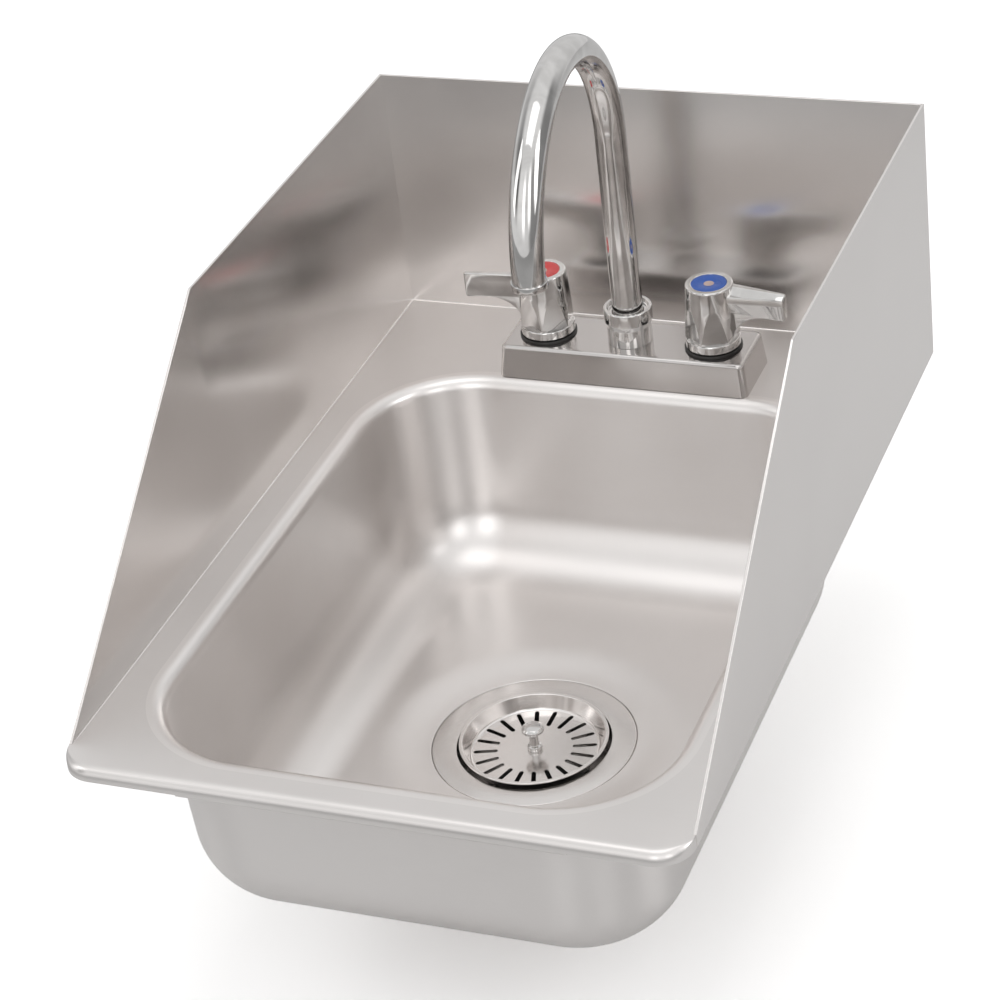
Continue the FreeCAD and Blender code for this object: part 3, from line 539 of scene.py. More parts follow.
def basinLoop(inset, lift):
    corner = max(basin["frontCorner"] - inset, 0.3)
    side = basin["side"] - inset
    counts = (basin["acrossSteps"], basin["alongSteps"], basin["cornerSteps"])
    radii = (corner, corner, basin["panelEdge"], basin["panelEdge"])
    return roundedLoop(-side, side, inset, basin["back"] - inset, radii, lift, *counts)


def eased(share):
    return share * share * (3 - 2 * share)


def mergedLoops(front, rest):
    # the front loop, which turns into the other one along the front corners
    loop = []
    for one, other in zip(front, rest):
        share = min(max((basin["frontCorner"] - one[1]) / (basin["frontCorner"] * 0.75), 0), 1)
        loop.append(tuple(o + (f - o) * eased(share) for f, o in zip(one, other)))
    return loop


def bowlLoop(grow, lift):
    half = basin["bowlHalf"] + grow
    radius = basin["bowlCorner"] + grow
    counts = (basin["acrossSteps"], basin["alongSteps"], basin["cornerSteps"])
    front, back = basin["bowlFront"] - grow, basin["bowlBack"] + grow
    return roundedLoop(-half, half, front, back, [radius] * 4, lift, *counts)


def rimLoops():
    # turned-down front edge, panel edges and deck
    top, turnDown, edge = basin["deckTop"], basin["edgeRound"], basin["panelEdge"]
    loops = []
    for lift in (0.0, basin["skirtStep"], top - turnDown):
        loops.append(mergedLoops(basinLoop(0, lift), basinLoop(basin["panelSkin"], lift)))
    for away, rise in quarter(6, 1):
        front = basinLoop(turnDown * (1 - away), top - turnDown + turnDown * rise)
        rest = basinLoop(basin["panelSkin"] + edge * (1 - away), top - edge + edge * rise)
        loops.append(mergedLoops(front, rest))
    inner, outer = basin["deckRun"]
    return loops + [basinLoop(turnDown + inner, top), bowlLoop(basin["roll"] + outer, top)]


def bowlLoops():
    # rolled edge, drawn wall and coved bottom
    top, roll, cove = basin["deckTop"], basin["roll"], basin["cove"]
    draft = math.radians(basin["draft"])
    reach = roll / math.cos(draft) - roll * math.tan(draft)
    loops = []
    for i in range(basin["rollSteps"] + 1):
        angle = math.radians((90 - basin["draft"]) * i / basin["rollSteps"])
        loops.append(bowlLoop(reach - roll * math.sin(angle), top - roll + roll * math.cos(angle)))
    middle = basin["floor"] + cove
    coveGrow = -(top - middle) * math.tan(draft) - cove / math.cos(draft)
    wallTop = loops[-1][0][2]
    wallFoot = middle - cove * math.sin(draft)
    for i in range(1, basin["wallSteps"]):
        lift = wallTop + (wallFoot - wallTop) * i / basin["wallSteps"]
        loops.append(bowlLoop(-(top - lift) * math.tan(draft), lift))
    for i in range(basin["coveSteps"] + 1):
        angle = draft + (math.pi / 2 - draft) * i / basin["coveSteps"]
        loops.append(bowlLoop(coveGrow + cove * math.cos(angle), middle - cove * math.sin(angle)))
    return loops


def drainLoops(outer):
    # shallow well and the flange's seat, each loop in step with the bowl's last one
    drain, well, seatRadius = basin["drainY"], basin["wellRadius"], basin["seatRadius"]
    floor, wellFloor, seat, step = basin["floor"], basin["wellFloor"], basin["seat"], basin["wellStep"]
    angles = [math.atan2(y - drain, x) for x, y, _ in outer]
    rings = []
    for i in range(basin["wellSteps"]):
        share = i / basin["wellSteps"]
        rings.append((well + (seatRadius - well) * share, floor + (wellFloor - floor) * eased(share)))
    rings.append((seatRadius + 0.8, wellFloor))
    rings += [(seatRadius + step - step * s, wellFloor - step + step * c) for c, s in quarter(4)]
    rings += [(seatRadius - step + step * c, seat + step - step * s) for c, s in quarter(3)]
    rings += [(radius, seat) for radius in basin["seatRings"]]
    return [[(r * math.cos(a), drain + r * math.sin(a), lift) for a in angles] for r, lift in rings]


def makeBasin():
    rim, bowl = rimLoops(), bowlLoops()
    points, faces = skin(rim + bowl + drainLoops(bowl[-1]))
    rimFaces = (len(rim) - 1) * len(rim[0])
    owners = [0 if i < rimFaces else 1 for i in range(len(faces))]
    mesh = rawMesh("basinShell", points, faces, owners)
    smoothed(mesh, 38)
    stands = ("sink_rim", "sink_bowl")
    shell = addPiece("basinShell", mesh, "basin", [deckSteel, bowlSteel], stands)
    thick = shell.modifiers.new("sheetThickness", "SOLIDIFY")
    thick.thickness = basin["steel"] * mm
    thick.offset = -1
    thick.use_even_offset = True
    softEdges(shell, 0.25, 60)


makeBasin()
print("stage: basin made")


# Splash panels: plain sheet, edges just broken, standing on the rim
panels = {
    "top": 159.4,
    "thick": 1.5,
    "front": 18.5,
    "slopeEnd": 216.5,
    "edge": 0.35,
    "weld": 0.9,
    "clearance": 0.02,
    "sideSteps": (24, 20),  # along the slope and along the straight top
    "backSteps": 32,
}


def panelSection(top):
    # (depth from the outer face, height) round one cut of the sheet
    thick, edge, deck, skinDepth = panels["thick"], panels["edge"], basin["deckTop"], basin["panelSkin"]
    room = min(edge, (top - deck) * 0.4)
    weld = min(panels["weld"], (top - deck) * 0.6)
    section = [(0.0, 0.0), (0.0, top - room)]
    section += [(room - room * c, top - room + room * s) for c, s in quarter(4, 1, 1)]
    section += [(room, top), (thick - room, top)]
    section += [(thick - room + room * s, top - room + room * c) for c, s in quarter(4, 1, 1)]
    section += [(thick, top - room), (thick, deck + weld)]
    section += [(thick + weld * (1 - c), deck + weld * (1 - s)) for c, s in quarter(5, 1, 1)]
    seat = deck + panels["clearance"]
    return section + [(thick + weld, seat), (skinDepth, seat), (skinDepth, 0.0)]


def makePanel(name, stations, put, node):
    loops = [[put(depth, along, lift) for depth, lift in panelSection(top)] for along, top in stations]
    form = skin(loops, caps=(0, -1))
    formPiece(name, form, (0, 0), "basin", "panel_steel", [sheetSteel], (node,), merge=0.001)


def sideStations():
    front, end, top = panels["front"], panels["slopeEnd"], panels["top"]
    deck = basin["deckTop"]
    stations = [(front, deck + 0.15)]
    sloped, straight = panels["sideSteps"]
    for i in range(1, sloped + 1):
        share = i / sloped
        stations.append((front + (end - front) * share, deck + (top - deck) * share))
    for i in range(1, straight + 1):
        stations.append((end + (basin["back"] - end) * i / straight, top))
    return stations


def backStations():
    half, steps = basin["side"] - panels["thick"], panels["backSteps"]
    return [(-half + 2 * half * i / steps, panels["top"]) for i in range(steps + 1)]


side, back = basin["side"], basin["back"]
makePanel("leftPanel", sideStations(), lambda d, y, z: (-side + d, y, z), "left_side_splash")
makePanel("rightPanel", sideStations(), lambda d, y, z: (side - d, y, z), "right_side_splash")
makePanel("backPanel", backStations(), lambda d, x, z: (x, back - d, z), "backsplash")
print("stage: splash panels made")


# Hold-down rails under the rim
rails = {
    "width": 10.0,
    "top": 5.8,
    "drop": 14.0,
    "lip": 2.7,
    "steel": 1.2,
    "bend": 1.6,
    "short": 206.0,
    "long": 300.0,
    "inset": 12.5,
}


def makeRail(name, node, length, place):
    half, top, steel = rails["width"] / 2, rails["top"], rails["steel"]
    foot, inner, bend = top - rails["drop"], half - rails["lip"], rails["bend"]
    right = [
        (half, top, bend),
        (half, foot, bend),
        (inner, foot),
        (inner, foot + steel),
        (half - steel, foot + steel, bend - steel),
        (half - steel, top - steel, bend - steel),
    ]
    left = [(-c[0], *c[1:]) for c in reversed(right)]
    section = rounded(right + left, 4)
    loops = [[(x, y, z) for y, z in section] for x in (-length / 2, length / 2)]
    form = skin(loops, caps=(0, -1))
    rail = formPiece(name, form, place, "basin", "rail_steel", [railSteel], (node,))
    softEdges(rail, 0.2, 60)


bowlMiddle = (basin["bowlFront"] + basin["bowlBack"]) / 2
railX = basin["side"] - rails["inset"]
makeRail("frontRail", "front_rail", rails["short"], (0, rails["inset"], 0, 0))
makeRail("backRail", "back_rail", rails["short"], (0, basin["back"] - rails["inset"], 0, 0))
makeRail("leftRail", "left_rail", rails["long"], (-railX, bowlMiddle, 0, 90))
makeRail("rightRail", "right_rail", rails["long"], (railX, bowlMiddle, 0, 90))
print("stage: rails made")


# Strainer, clamped through the drain hole
strainer = {
    "flange": 57.15,
    "flangeTop": -112.2,
    "seat": -114.6,
    "neck": 43.8,
    "inside": 42.3,
    "opening": 43.4,
    "straightFoot": -136.2,
    "cupFloor": -152.2,
    "coneRadius": 30.0,
    "wall": 1.5,
    "bore": 19.0,
    "outletRadius": 23.6,
    "outletFoot": -172.2,
    "pitch": 2.0,
    "clampRadius": 58.0,
    "gasketThick": 3.0,
    "fibreThick": 1.0,
}
drainPlace = (0, basin["drainY"], 0, 0)


def makeStrainer():
    s = strainer
    top, seat, wall = s["flangeTop"], s["seat"], s["wall"]
    cup = rounded(
        [
            (s["opening"], top, 0.35),
            (s["inside"], top - 1.6, 1.0),
            (s["inside"], s["straightFoot"], 3.0),
            (s["coneRadius"], s["cupFloor"], 3.0),
            (s["bore"], s["cupFloor"], 0.5),
            (s["bore"], s["cupFloor"] - wall),
            (s["coneRadius"] + wall, s["cupFloor"] - wall, 4.0),
            (s["neck"], s["straightFoot"], 4.0),
            (s["neck"], seat),
            (s["flange"], seat, 0.3),
            (s["flange"], top, 0.5),
        ],
        5,
    )
    lathePiece("strainerCup", cup, drainPlace, "basin", "drain_steel", drainSteel, "strainer_body", 128)
    foot, high, radius = s["outletFoot"], s["cupFloor"] - wall, s["outletRadius"]
    root = radius - 0.7
    outer = [(radius, high, 0.4)]
    lift = high - 2.5
    while lift > foot + s["pitch"]:  # threads
        outer += [(radius, lift), (root, lift - 0.6), (root, lift - 0.9), (radius, lift - 1.5)]
        lift -= s["pitch"]
    outer += [(radius, foot + 0.8), (radius - 0.8, foot)]
    tail = rounded(outer + [(s["bore"], foot, 0.3), (s["bore"], high, 0.3)], 3)
    lathePiece("drainOutlet", tail, drainPlace, "basin", "nut_metal", zincMetal, "strainer_outlet")


lockNut = {
    "radius": 52.0,
    "lug": 59.0,
    "halfWidth": 6.0,
    "height": 9.0,
    "edge": 0.7,
    "arcSteps": 24,
    "holeSteps": 96,
}


def lockNutOutline():
    radius, half = lockNut["radius"], lockNut["halfWidth"]
    lug = math.asin(half / radius)
    reach = math.hypot(lockNut["lug"], half)
    tip = math.atan2(half, lockNut["lug"])
    polar = []
    for turn in range(4):
        base = turn * math.pi / 2
        polar.append((radius, base - lug))
        for share in (-1, -0.6, 0, 0.6, 1):
            polar.append((reach if abs(share) < 1 else reach - 1.0, base + tip * share))
        polar.append((radius, base + lug))
        for i in range(1, lockNut["arcSteps"]):
            polar.append((radius, base + lug + (math.pi / 2 - 2 * lug) * i / lockNut["arcSteps"]))
    return [(r * math.cos(a), r * math.sin(a)) for r, a in polar]


def makeClamp():
    neck, under = strainer["neck"], strainer["seat"] - basin["steel"]
    low = under - strainer["gasketThick"]
    nutTop = low - strainer["fibreThick"]
    ringPiece(
        "drainGasket", strainer["clampRadius"], neck, low, under, 0.7, drainPlace,
        "basin", "black_rubber", blackRubber, "strainer_gasket",
    )
    ringPiece(
        "frictionRing", strainer["clampRadius"], neck, nutTop, low, 0.25, drainPlace,
        "basin", "red_fibre", redFibre, "friction_ring",
    )
    outlines = [lockNutOutline(), [(x, y) for x, y, _ in ringLoop(neck, 0.0, lockNut["holeSteps"])]]
    mesh = plateMesh("lockNut", outlines, nutTop - lockNut["height"], nutTop, lockNut["edge"])
    mesh.transform(Matrix.Translation((0, basin["drainY"] * mm, 0)))
    addPiece("lockNut", mesh, "basin", [zincMetal], ("strainer_locknut",))


makeStrainer()
makeClamp()
print("stage: strainer made")


# Basket that lifts out of the strainer
basket = {
    "lip": 41.9,
    "lipTop": -109.2,
    "floor": -117.2,
    "wall": 1.0,
    "floorRadius": 37.0,
    "postRadius": 3.2,
    "slots": 20,
    "slotInner": 21.0,
    "slotOuter": 34.5,
    "slotWidth": 2.6,
    "slotSteps": 8,
    "slotReach": 3.0,  # how far the cutting form goes above and below
    "knobMiddle": -103.7,
    "knobRadius": 6.4,
    "sealFoot": -151.9,
    "sealHeight": 6.0,
    "sealRadius": 27.0,
    "sealHub": 10.0,
}


def slotForms():
    b = basket
    half, steps = b["slotWidth"] / 2, b["slotSteps"]
    outline = []
    for x, first in ((b["slotOuter"] - half, -90), (b["slotInner"] + half, 90)):
        for i in range(steps + 1):
            angle = math.radians(first + 180 * i / steps)
            outline.append((x + half * math.cos(angle), half * math.sin(angle)))
    lifts = (b["floor"] - b["slotReach"], b["floor"] + b["slotReach"])
    slotPoints, slotFaces = skin([[(x, y, z) for x, y in outline] for z in lifts], caps=(0, -1))
    points, faces = [], []
    for turn in range(b["slots"]):
        start = len(points)
        points += moved(moved(slotPoints, turn=360 * turn / b["slots"]), *drainPlace)
        faces += [tuple(start + i for i in f) for f in slotFaces]
    return points, faces


def makeBasket():
    b = basket
    lip, wall, floor = b["lip"], b["wall"], b["floor"]
    cup = rounded(
        [
            (b["postRadius"], floor - wall),
            (b["floorRadius"], floor - wall, 2.6),
            (lip - wall, b["lipTop"] - wall, 0.4),
            (lip, b["lipTop"] - wall, 0.3),
            (lip, b["lipTop"], 0.3),
            (lip - wall * 2, b["lipTop"], 0.6),
            (b["floorRadius"] - wall, floor, 1.8),
            (b["postRadius"], floor),
        ],
        5,
    )
    steel = (drainPlace, "basket", "basket_steel")
    piece = lathePiece("basketCup", cup, *steel, basketSteel, "basket_cup", 160)
    carved(piece, "DIFFERENCE", *slotForms())
    softEdges(piece, 0.18, 50)
    post = rounded(
        [
            (0, b["sealFoot"]),
            (b["postRadius"], b["sealFoot"], 0.3),
            (b["postRadius"], floor),
            (4.2, floor, 0.2),
            (4.2, floor + 2.6, 0.7),
            (2.6, floor + 3.2, 0.4),
            (2.4, b["knobMiddle"] - 2.0, 0.4),
            (0, b["knobMiddle"] - 1.9),
        ],
        4,
        closed=False,
    )
    lathePiece("basketPost", post, *steel, chrome, "basket_post", 48, False)
    r, middle = b["knobRadius"], b["knobMiddle"]
    knob = rounded(
        [
            (0, middle - 2.2),
            (r - 1.6, middle - 2.2, 0.6),
            (r, middle - 0.8, 0.7),
            (r, middle + 0.7, 0.8),
            (r - 1.6, middle + 1.9, 1.5),
            (0, middle + 2.5),
        ],
        5,
        closed=False,
    )
    lathePiece("basketKnob", knob, *steel, chrome, "basket_knob", 64, False)
    foot, outer, hub = b["sealFoot"], b["sealRadius"], b["sealHub"]
    top = foot + b["sealHeight"]
    seal = rounded(
        [
            (b["postRadius"], foot),
            (outer - 2, foot, 0.6),
            (outer, foot + 2, 0.8),
            (outer, top, 1.0),
            (hub, top, 1.0),
            (hub - 1, top - 0.8, 0.4),
            (b["postRadius"], top - 0.8),
        ],
        4,
    )
    lathePiece("stopperSeal", seal, drainPlace, "basket", "black_rubber", blackRubber, "stopper_seal")


makeBasket()
print("stage: basket made")


# Faucet base
faucet = {
    "y": 424.5,
    "hubX": 50.8,
    "halfWidth": 76.0,
    "halfDepth": 23.0,
    "taper": 2.25,
    "top": 27.0,
    "corner": 4.0,
    "edge": 2.2,
    "foot": 7.0,
    "underLip": 1.1,
    "footBreak": 0.8,
    "topRun": 4.0,
    "counts": (16, 6, 8),  # across, along and round each corner
}
faucetPlace = (0, faucet["y"], 0, 0)


def coverLoop(inset, lift):
    corner = max(faucet["corner"] - inset * 0.2, 0.6)
    half, deep = faucet["halfWidth"] - inset, faucet["halfDepth"] - inset
    return roundedLoop(-half, half, -deep, deep, [corner] * 4, lift, *faucet["counts"])


def makeCover():
    foot, top, edge, taper = faucet["foot"], faucet["top"], faucet["edge"], faucet["taper"]
    slope, rise = taper / (top - foot), faucet["footBreak"]
    loops = [coverLoop(faucet["underLip"], foot), coverLoop(0.0, foot)]
    loops.append(coverLoop(slope * rise, foot + rise))
    loops.append(coverLoop(slope * (top - edge - foot) * 0.5, (foot + top - edge) / 2))
    for c, s in quarter(6):
        loops.append(coverLoop(slope * (top - edge - foot) + edge * (1 - c), top - edge + edge * s))
    loops.append(coverLoop(taper + faucet["topRun"], top))
    form, stands = skin(loops, caps=(0, -1)), ("faucet_shroud",)
    flatShaded(
        formPiece("faucetCover", form, faucetPlace, "basin", "shroud_steel", [coverSteel], stands)
    )


makeCover()


# Valves: inlet shanks with nuts and washers, seat rings
valves = {
    "shankFoot": -41.5,
    "shankTop": 8.5,
    "shoulder": -5.0,
    "shankRadius": 10.3,
    "shankEnd": 10.1,
    "chamfer": 1.2,
    "bore": 6.5,
    "boreEdge": 0.6,
    "pitch": 1.8,
    "pitchSteps": 8,
    "columns": 48,
    "threadDepth": 0.75,
    "threadFade": (1.6, 1.2),  # at the foot and at the shoulder
    "washerRadius": 18.0,
    "washerTop": 5.8,
    "washerFoot": 3.3,
    "nutFoot": -3.7,
    "nutAcross": 30.0,
    "ringRadius": 16.8,
    "ringStep": 14.6,
    "ringFoot": 27.0,
    "ringTop": 31.0,
    "ringInside": 9.0,
}


def makeShank(name, node, place):
    v = valves
    low, high, columns = v["shankFoot"], v["shoulder"], v["columns"]
    rows = int((high - low) / v["pitch"] * v["pitchSteps"])
    inside, edge, start = v["bore"], v["boreEdge"], v["shankEnd"] - v["chamfer"]
    fadeLow, fadeHigh = v["threadFade"]
    rings = [(inside, v["shankTop"]), (inside, low + edge), (inside + edge, low), (start, low)]
    loops = [ringLoop(radius, lift, columns) for radius, lift in rings]
    for i in range(1, rows + 1):
        lift = low + (high - low) * i / rows
        near = min((lift - low) / fadeLow, (high - lift) / fadeHigh, 1)
        loop = []
        for j in range(columns):
            phase = ((lift - low) / v["pitch"] - j / columns) % 1
            crest = 1 - abs(2 * phase - 1)
            radius = v["shankEnd"] - v["threadDepth"] * (1 - crest) * max(near, 0)
            if lift - low < v["chamfer"]:
                radius = min(radius, start + (lift - low))
            angle = 2 * math.pi * j / columns
            loop.append((radius * math.cos(angle), radius * math.sin(angle), lift))
        loops.append(loop)
    rings = [(v["shankEnd"], high), (v["shankRadius"], high + 0.2), (v["shankRadius"], v["shankTop"])]
    loops += [ringLoop(radius, lift, columns) for radius, lift in rings]
    form = skin(loops + [loops[0]])
    formPiece(name, form, place, "basin", "raw_brass", [brassMetal], (node,), angle=28)


def makeHexNut(name, node, place):
    v = valves
    low, high, inside = v["nutFoot"], v["washerFoot"], v["shankRadius"]
    reach = v["nutAcross"] / math.sqrt(3)
    tip, face = reach + 0.1, reach - 2.2
    profile = [
        (inside, low + 0.8),
        (inside + 0.8, low),
        (face, low),
        (tip, low + 1.3),
        (tip, high - 1.3),
        (face, high),
        (inside, high),
    ]
    nut = formPiece(name, turned(profile), place, "basin", "raw_brass", [brassMetal], (node,))
    loops = [ringLoop(reach, z, 6) for z in (low - 2, high + 2)]
    points, faces = skin(loops, caps=(0, -1))
    carved(nut, "INTERSECT", moved(points, *place), faces)
    softEdges(nut, 0.2, 30)


def makeValveParts(water, x):
    v = valves
    place = (x, faucet["y"], 0, 0)
    makeShank(water + "Shank", water + "_shank", place)
    ringPiece(
        water + "Washer", v["washerRadius"], v["shankRadius"], v["washerFoot"], v["washerTop"], 0.6,
        place, "basin", "black_rubber", blackRubber, water + "_shank_washer", 72,
    )
    makeHexNut(water + "ShankNut", water + "_shank_nut", place)
    foot, top = v["ringFoot"], v["ringTop"]
    ring = rounded(
        [
            (v["ringInside"], foot),
            (v["ringRadius"], foot, 0.3),
            (v["ringRadius"], foot + 1.5, 0.6),
            (v["ringStep"], foot + 1.7, 0.3),
            (v["ringStep"], top, 0.5),
            (v["ringInside"], top),
        ],
        4,
    )
    # the seat ring is a dark plastic part whose dark colour also stands in for the shade under the
    # handle's skirt
    name, node = water + "SeatRing", water + "_seat_ring"
    lathePiece(name, ring, place, "basin", "dark_plastic", darkPlasticAndShade, node)


# Lever handles: faceted hub, blade and web
handle = {
    "foot": 29.3,
    "band": 5.0,
    "height": 39.0,
    "skirtInside": 15.1,
    "skirtRoof": 31.4,
    "footRadius": 16.0,
    "topRadius": 14.0,
    "topRound": 1.2,
    "facets": 6,
    "facetRadius": 13.9,
    "facetHeight": 22.0,
    "facetRows": 22,
    "facetColumns": 10,
    "coneColumns": 6,  # between two facets
    "seatRadius": 10.35,
    "seatDepth": 2.0,
    "reach": 47.0,
    "rootHalf": 6.5,
    "tipHalf": 2.75,
    "bladeHeight": 15.0,
    "topSlope": 4.5,
    "frontLip": 4.0,
    "webHalf": 2.25,
    "webReach": 36.0,
    "webSteps": 20,
    "tipRound": 1.5,
    "inner": (8.0, 11.0),  # lever sections inside the hub and beyond the web
    "beyond": (39.0, 42.0),
    "cavity": 11.5,
    "cavityTop": 46.0,
    "discRadius": 10.3,
    "dotRadius": 3.0,
}
handle["top"] = handle["foot"] + handle["height"]
handle["skirt"] = handle["foot"] + handle["band"]
handle["cone"] = (handle["footRadius"] - handle["topRadius"]) / (handle["height"] - handle["band"])


def hubLoop(lift):
    h = handle
    cone = h["footRadius"] - h["cone"] * (lift - h["skirt"])
    apexRadius = h["footRadius"] - h["facetHeight"] * h["cone"]
    share = (lift - h["skirt"]) / h["facetHeight"]
    plane = h["facetRadius"] + (apexRadius - h["facetRadius"]) * share
    half = math.acos(min(plane / cone, 1)) if share < 1 else 0
    sector = 2 * math.pi / h["facets"]
    loop = []
    for k in range(h["facets"]):
        middle = k * sector
        for i in range(h["facetColumns"]):
            angle = -half + 2 * half * i / h["facetColumns"]
            radius = plane / math.cos(angle) if half > 0 else cone
            loop.append((radius * math.cos(middle + angle), radius * math.sin(middle + angle), lift))
        for i in range(h["coneColumns"]):
            angle = half + (sector - 2 * half) * i / h["coneColumns"]
            loop.append((cone * math.cos(middle + angle), cone * math.sin(middle + angle), lift))
    return loop


def hubRings(pattern, rings):
    # level rings whose points stand at the angles of the pattern's points
    angles = [math.atan2(y, x) for x, y, _ in pattern]
    return [[(r * math.cos(a), r * math.sin(a), lift) for a in angles] for r, lift in rings]


def hubMesh():
    h = handle
    skirt, top, foot, seat, bend = h["skirt"], h["top"], h["footRadius"], h["seatRadius"], h["topRound"]
    first = hubLoop(skirt)
    under = [
        (h["cavity"], h["cavityTop"]),
        (h["cavity"], h["skirtRoof"]),
        (h["skirtInside"], h["skirtRoof"]),
        (h["skirtInside"], h["foot"]),
        (foot - 0.3, h["foot"]),
        (foot, h["foot"] + 0.3),
        (foot, skirt - 0.6),
        (foot - 0.18, skirt - 0.18),
        (foot - 0.5, skirt),
    ]
    loops = hubRings(first, under)
    loops.append([p if math.hypot(p[0], p[1]) < foot - 0.5 else q for p, q in zip(first, loops[-1])])
    for i in range(1, h["facetRows"] + 1):
        loops.append(hubLoop(skirt + h["facetHeight"] * i / h["facetRows"]))
    lifts = (skirt + h["facetHeight"] + 3, top - bend)
    above = [(foot - h["cone"] * (lift - skirt), lift) for lift in lifts]
    edge = h["topRadius"] + 0.07 - bend
    above += [(edge + bend * c, top - bend + bend * s) for c, s in quarter(6, 1)]
    above += [(seat + 0.5, top), (seat + 0.15, top - 0.15), (seat, top - 0.5)]
    above.append((seat, top - h["seatDepth"]))
    return skin(loops + hubRings(loops[-1], above), caps=(0, -1))


def leverLoop(x, top):
    h = handle
    share = max(x, 0) / h["reach"]
    half = h["rootHalf"] + (h["tipHalf"] - h["rootHalf"]) * share
    under = top - h["bladeHeight"]
    low = under
    if x < h["webReach"]:  # the web's curved underside, drawn down to the skirt
        span, fall = h["webReach"] - h["facetRadius"], under - h["skirt"]
        t = (h["webReach"] - max(x, h["facetRadius"])) / span
        low = under - fall * (1 - math.sqrt(max(1 - t * t, 0)))
    neck = min(h["webHalf"], half * 0.8)
    slope = h["topSlope"] * half / h["rootHalf"]
    low, root = low - 0.6, under - 0.2
    section = rounded(
        [
            (half, top, 0.8),
            (half * 0.3, top, 3.0),
            (-half, top - slope, 0.8),
            (-half, top - slope - h["frontLip"], 0.8),
            (-neck, root, 1.0),
            (-neck, low, 0.25),
            (neck, low, 0.25),
            (neck, root, 0.6),
            (half, root + (half - neck) * 0.15, 0.8),
        ],
        4,
    )
    return [(x, y, z) for y, z in section]


def leverMesh():
    h = handle
    top = h["top"] - h["topRound"]
    web, hub, bend, steps = h["webReach"], h["facetRadius"], h["tipRound"], h["webSteps"]
    end = h["reach"] - bend
    along = [hub + (web - hub) * i / steps for i in range(steps + 1)]
    stations = [*h["inner"], *along, *h["beyond"], end]
    loops = [leverLoop(x, top) for x in stations]
    centre = top - h["bladeHeight"] / 2
    for grow in (0.35, 0.75, 1.0):  # rounded tip
        x = end + bend * math.sin(grow * math.pi / 2)
        squeeze = bend * (1 - math.cos(grow * math.pi / 2)) * 0.75
        loop = []
        for _, y, z in leverLoop(end, top):
            sideways = -math.copysign(min(squeeze, abs(y)), y)
            rise = math.copysign(min(squeeze, abs(z - centre)), centre - z)
            loop.append((x, y + sideways, z + rise))
        loops.append(loop)
    return skin(loops, caps=(0, -1))


def makeHandle(water, x, turn, slot, plastic):
    place = (x, faucet["y"], 0, turn)
    body, stands = water + "_lever", (water + "_handle",)
    hub = formPiece(
        water + "Handle", hubMesh(), place, body, "faucet_chrome", [chrome], stands, angle=14
    )
    points, faces = leverMesh()
    carved(hub, "UNION", moved(points, *place), faces)
    smoothed(hub.data, 18)
    top, edge, dot = handle["top"], handle["discRadius"], handle["dotRadius"]
    low = top - handle["seatDepth"]
    corners = [(dot + 0.3, top - 0.35, 0.2), (edge, top - 0.1, 0.5), (edge, low, 0.1), (0, low)]
    disc = [(0, top - 0.55), (dot, top - 0.55)] + rounded(corners, 4, closed=False)
    form = turned(disc, 72, False)
    owners = [1 if i % (len(disc) - 1) < 1 else 0 for i in range(len(form[1]))]  # the dot comes first
    name, place, looks = water + "Index", (x, faucet["y"]), [plastic, dotPlastic]
    formPiece(name, form, place, body, slot, looks, (water + "_index",), owners=owners)


for water, x, turn, slot, plastic in (
    ("hot", -faucet["hubX"], 188.0, "red_plastic", redPlastic),
    ("cold", faucet["hubX"], -8.0, "blue_plastic", bluePlastic),
):
    makeValveParts(water, x)
    makeHandle(water, x, turn, slot, plastic)
print("stage: faucet base and handles made")


# Gooseneck spout
spout = {
    "foot": 40.7,
    "riserTop": 156.2,
    "bend": 83.4,
    "outlet": 152.7,
    "radius": 9.0,
    "wall": 1.0,
    "edge": 0.4,
    "turn": 4.0,  # degrees
    "straight": (70.0, 100.0, 130.0),  # heights of loops along the riser
    "bendSteps": 72,
    "columns": 64,
    "rim": 0.8,
    "rimHeight": 4.0,
    "nutFootRadius": 13.2,
    "nutRadius": 14.2,
    "nutFoot": 27.0,
    "nutShoulder": 41.0,
    "nutTop": 49.0,
    "recess": 12.0,
    "recessFoot": 46.0,
}


def makeSpoutTube():
    s = spout
    bend, outlet, edge, columns = s["bend"], s["outlet"], s["edge"], s["columns"]
    path = [((0, z), (0, 1)) for z in (s["foot"], *s["straight"])]
    for i in range(s["bendSteps"] + 1):
        angle = math.pi * i / s["bendSteps"]
        place = (-bend + bend * math.cos(angle), s["riserTop"] + bend * math.sin(angle))
        path.append((place, (-math.sin(angle), math.cos(angle))))
    path.append(((-2 * bend, outlet + edge), (0, -1)))

    def loopAt(centre, ahead, radius):
        loop = []
        for j in range(columns):
            angle = 2 * math.pi * j / columns
            x, side = radius * math.cos(angle), radius * math.sin(angle)
            loop.append((x, centre[0] + side * ahead[1], centre[1] - side * ahead[0]))
        return loop

    loops = [loopAt(place, ahead, s["radius"]) for place, ahead in path]
    end, inner = path[-1][0][0], s["radius"] - s["wall"]
    loops.append(loopAt((end, outlet), (0, -1), s["radius"] - edge))
    loops.append(loopAt((end, outlet), (0, -1), inner + 0.3))
    loops.append(loopAt((end, outlet + 0.3), (0, -1), inner))
    loops += [loopAt(place, ahead, inner) for place, ahead in reversed(path[:-1])]
    form, place = skin(loops + [loops[0]]), (0, faucet["y"], 0, s["turn"])
    formPiece("spoutTube", form, place, "spout", "faucet_chrome", [chrome], ("spout_tube",))
    turn = math.radians(s["turn"])
    tip = (2 * bend * math.sin(turn), faucet["y"] - 2 * bend * math.cos(turn), 0, 0)
    ringPiece(
        "outletRim", s["radius"] + s["rim"], s["radius"], outlet, outlet + s["rimHeight"], 0.35, tip,
        "spout", "faucet_chrome", chrome, "outlet_ring", 72,
    )


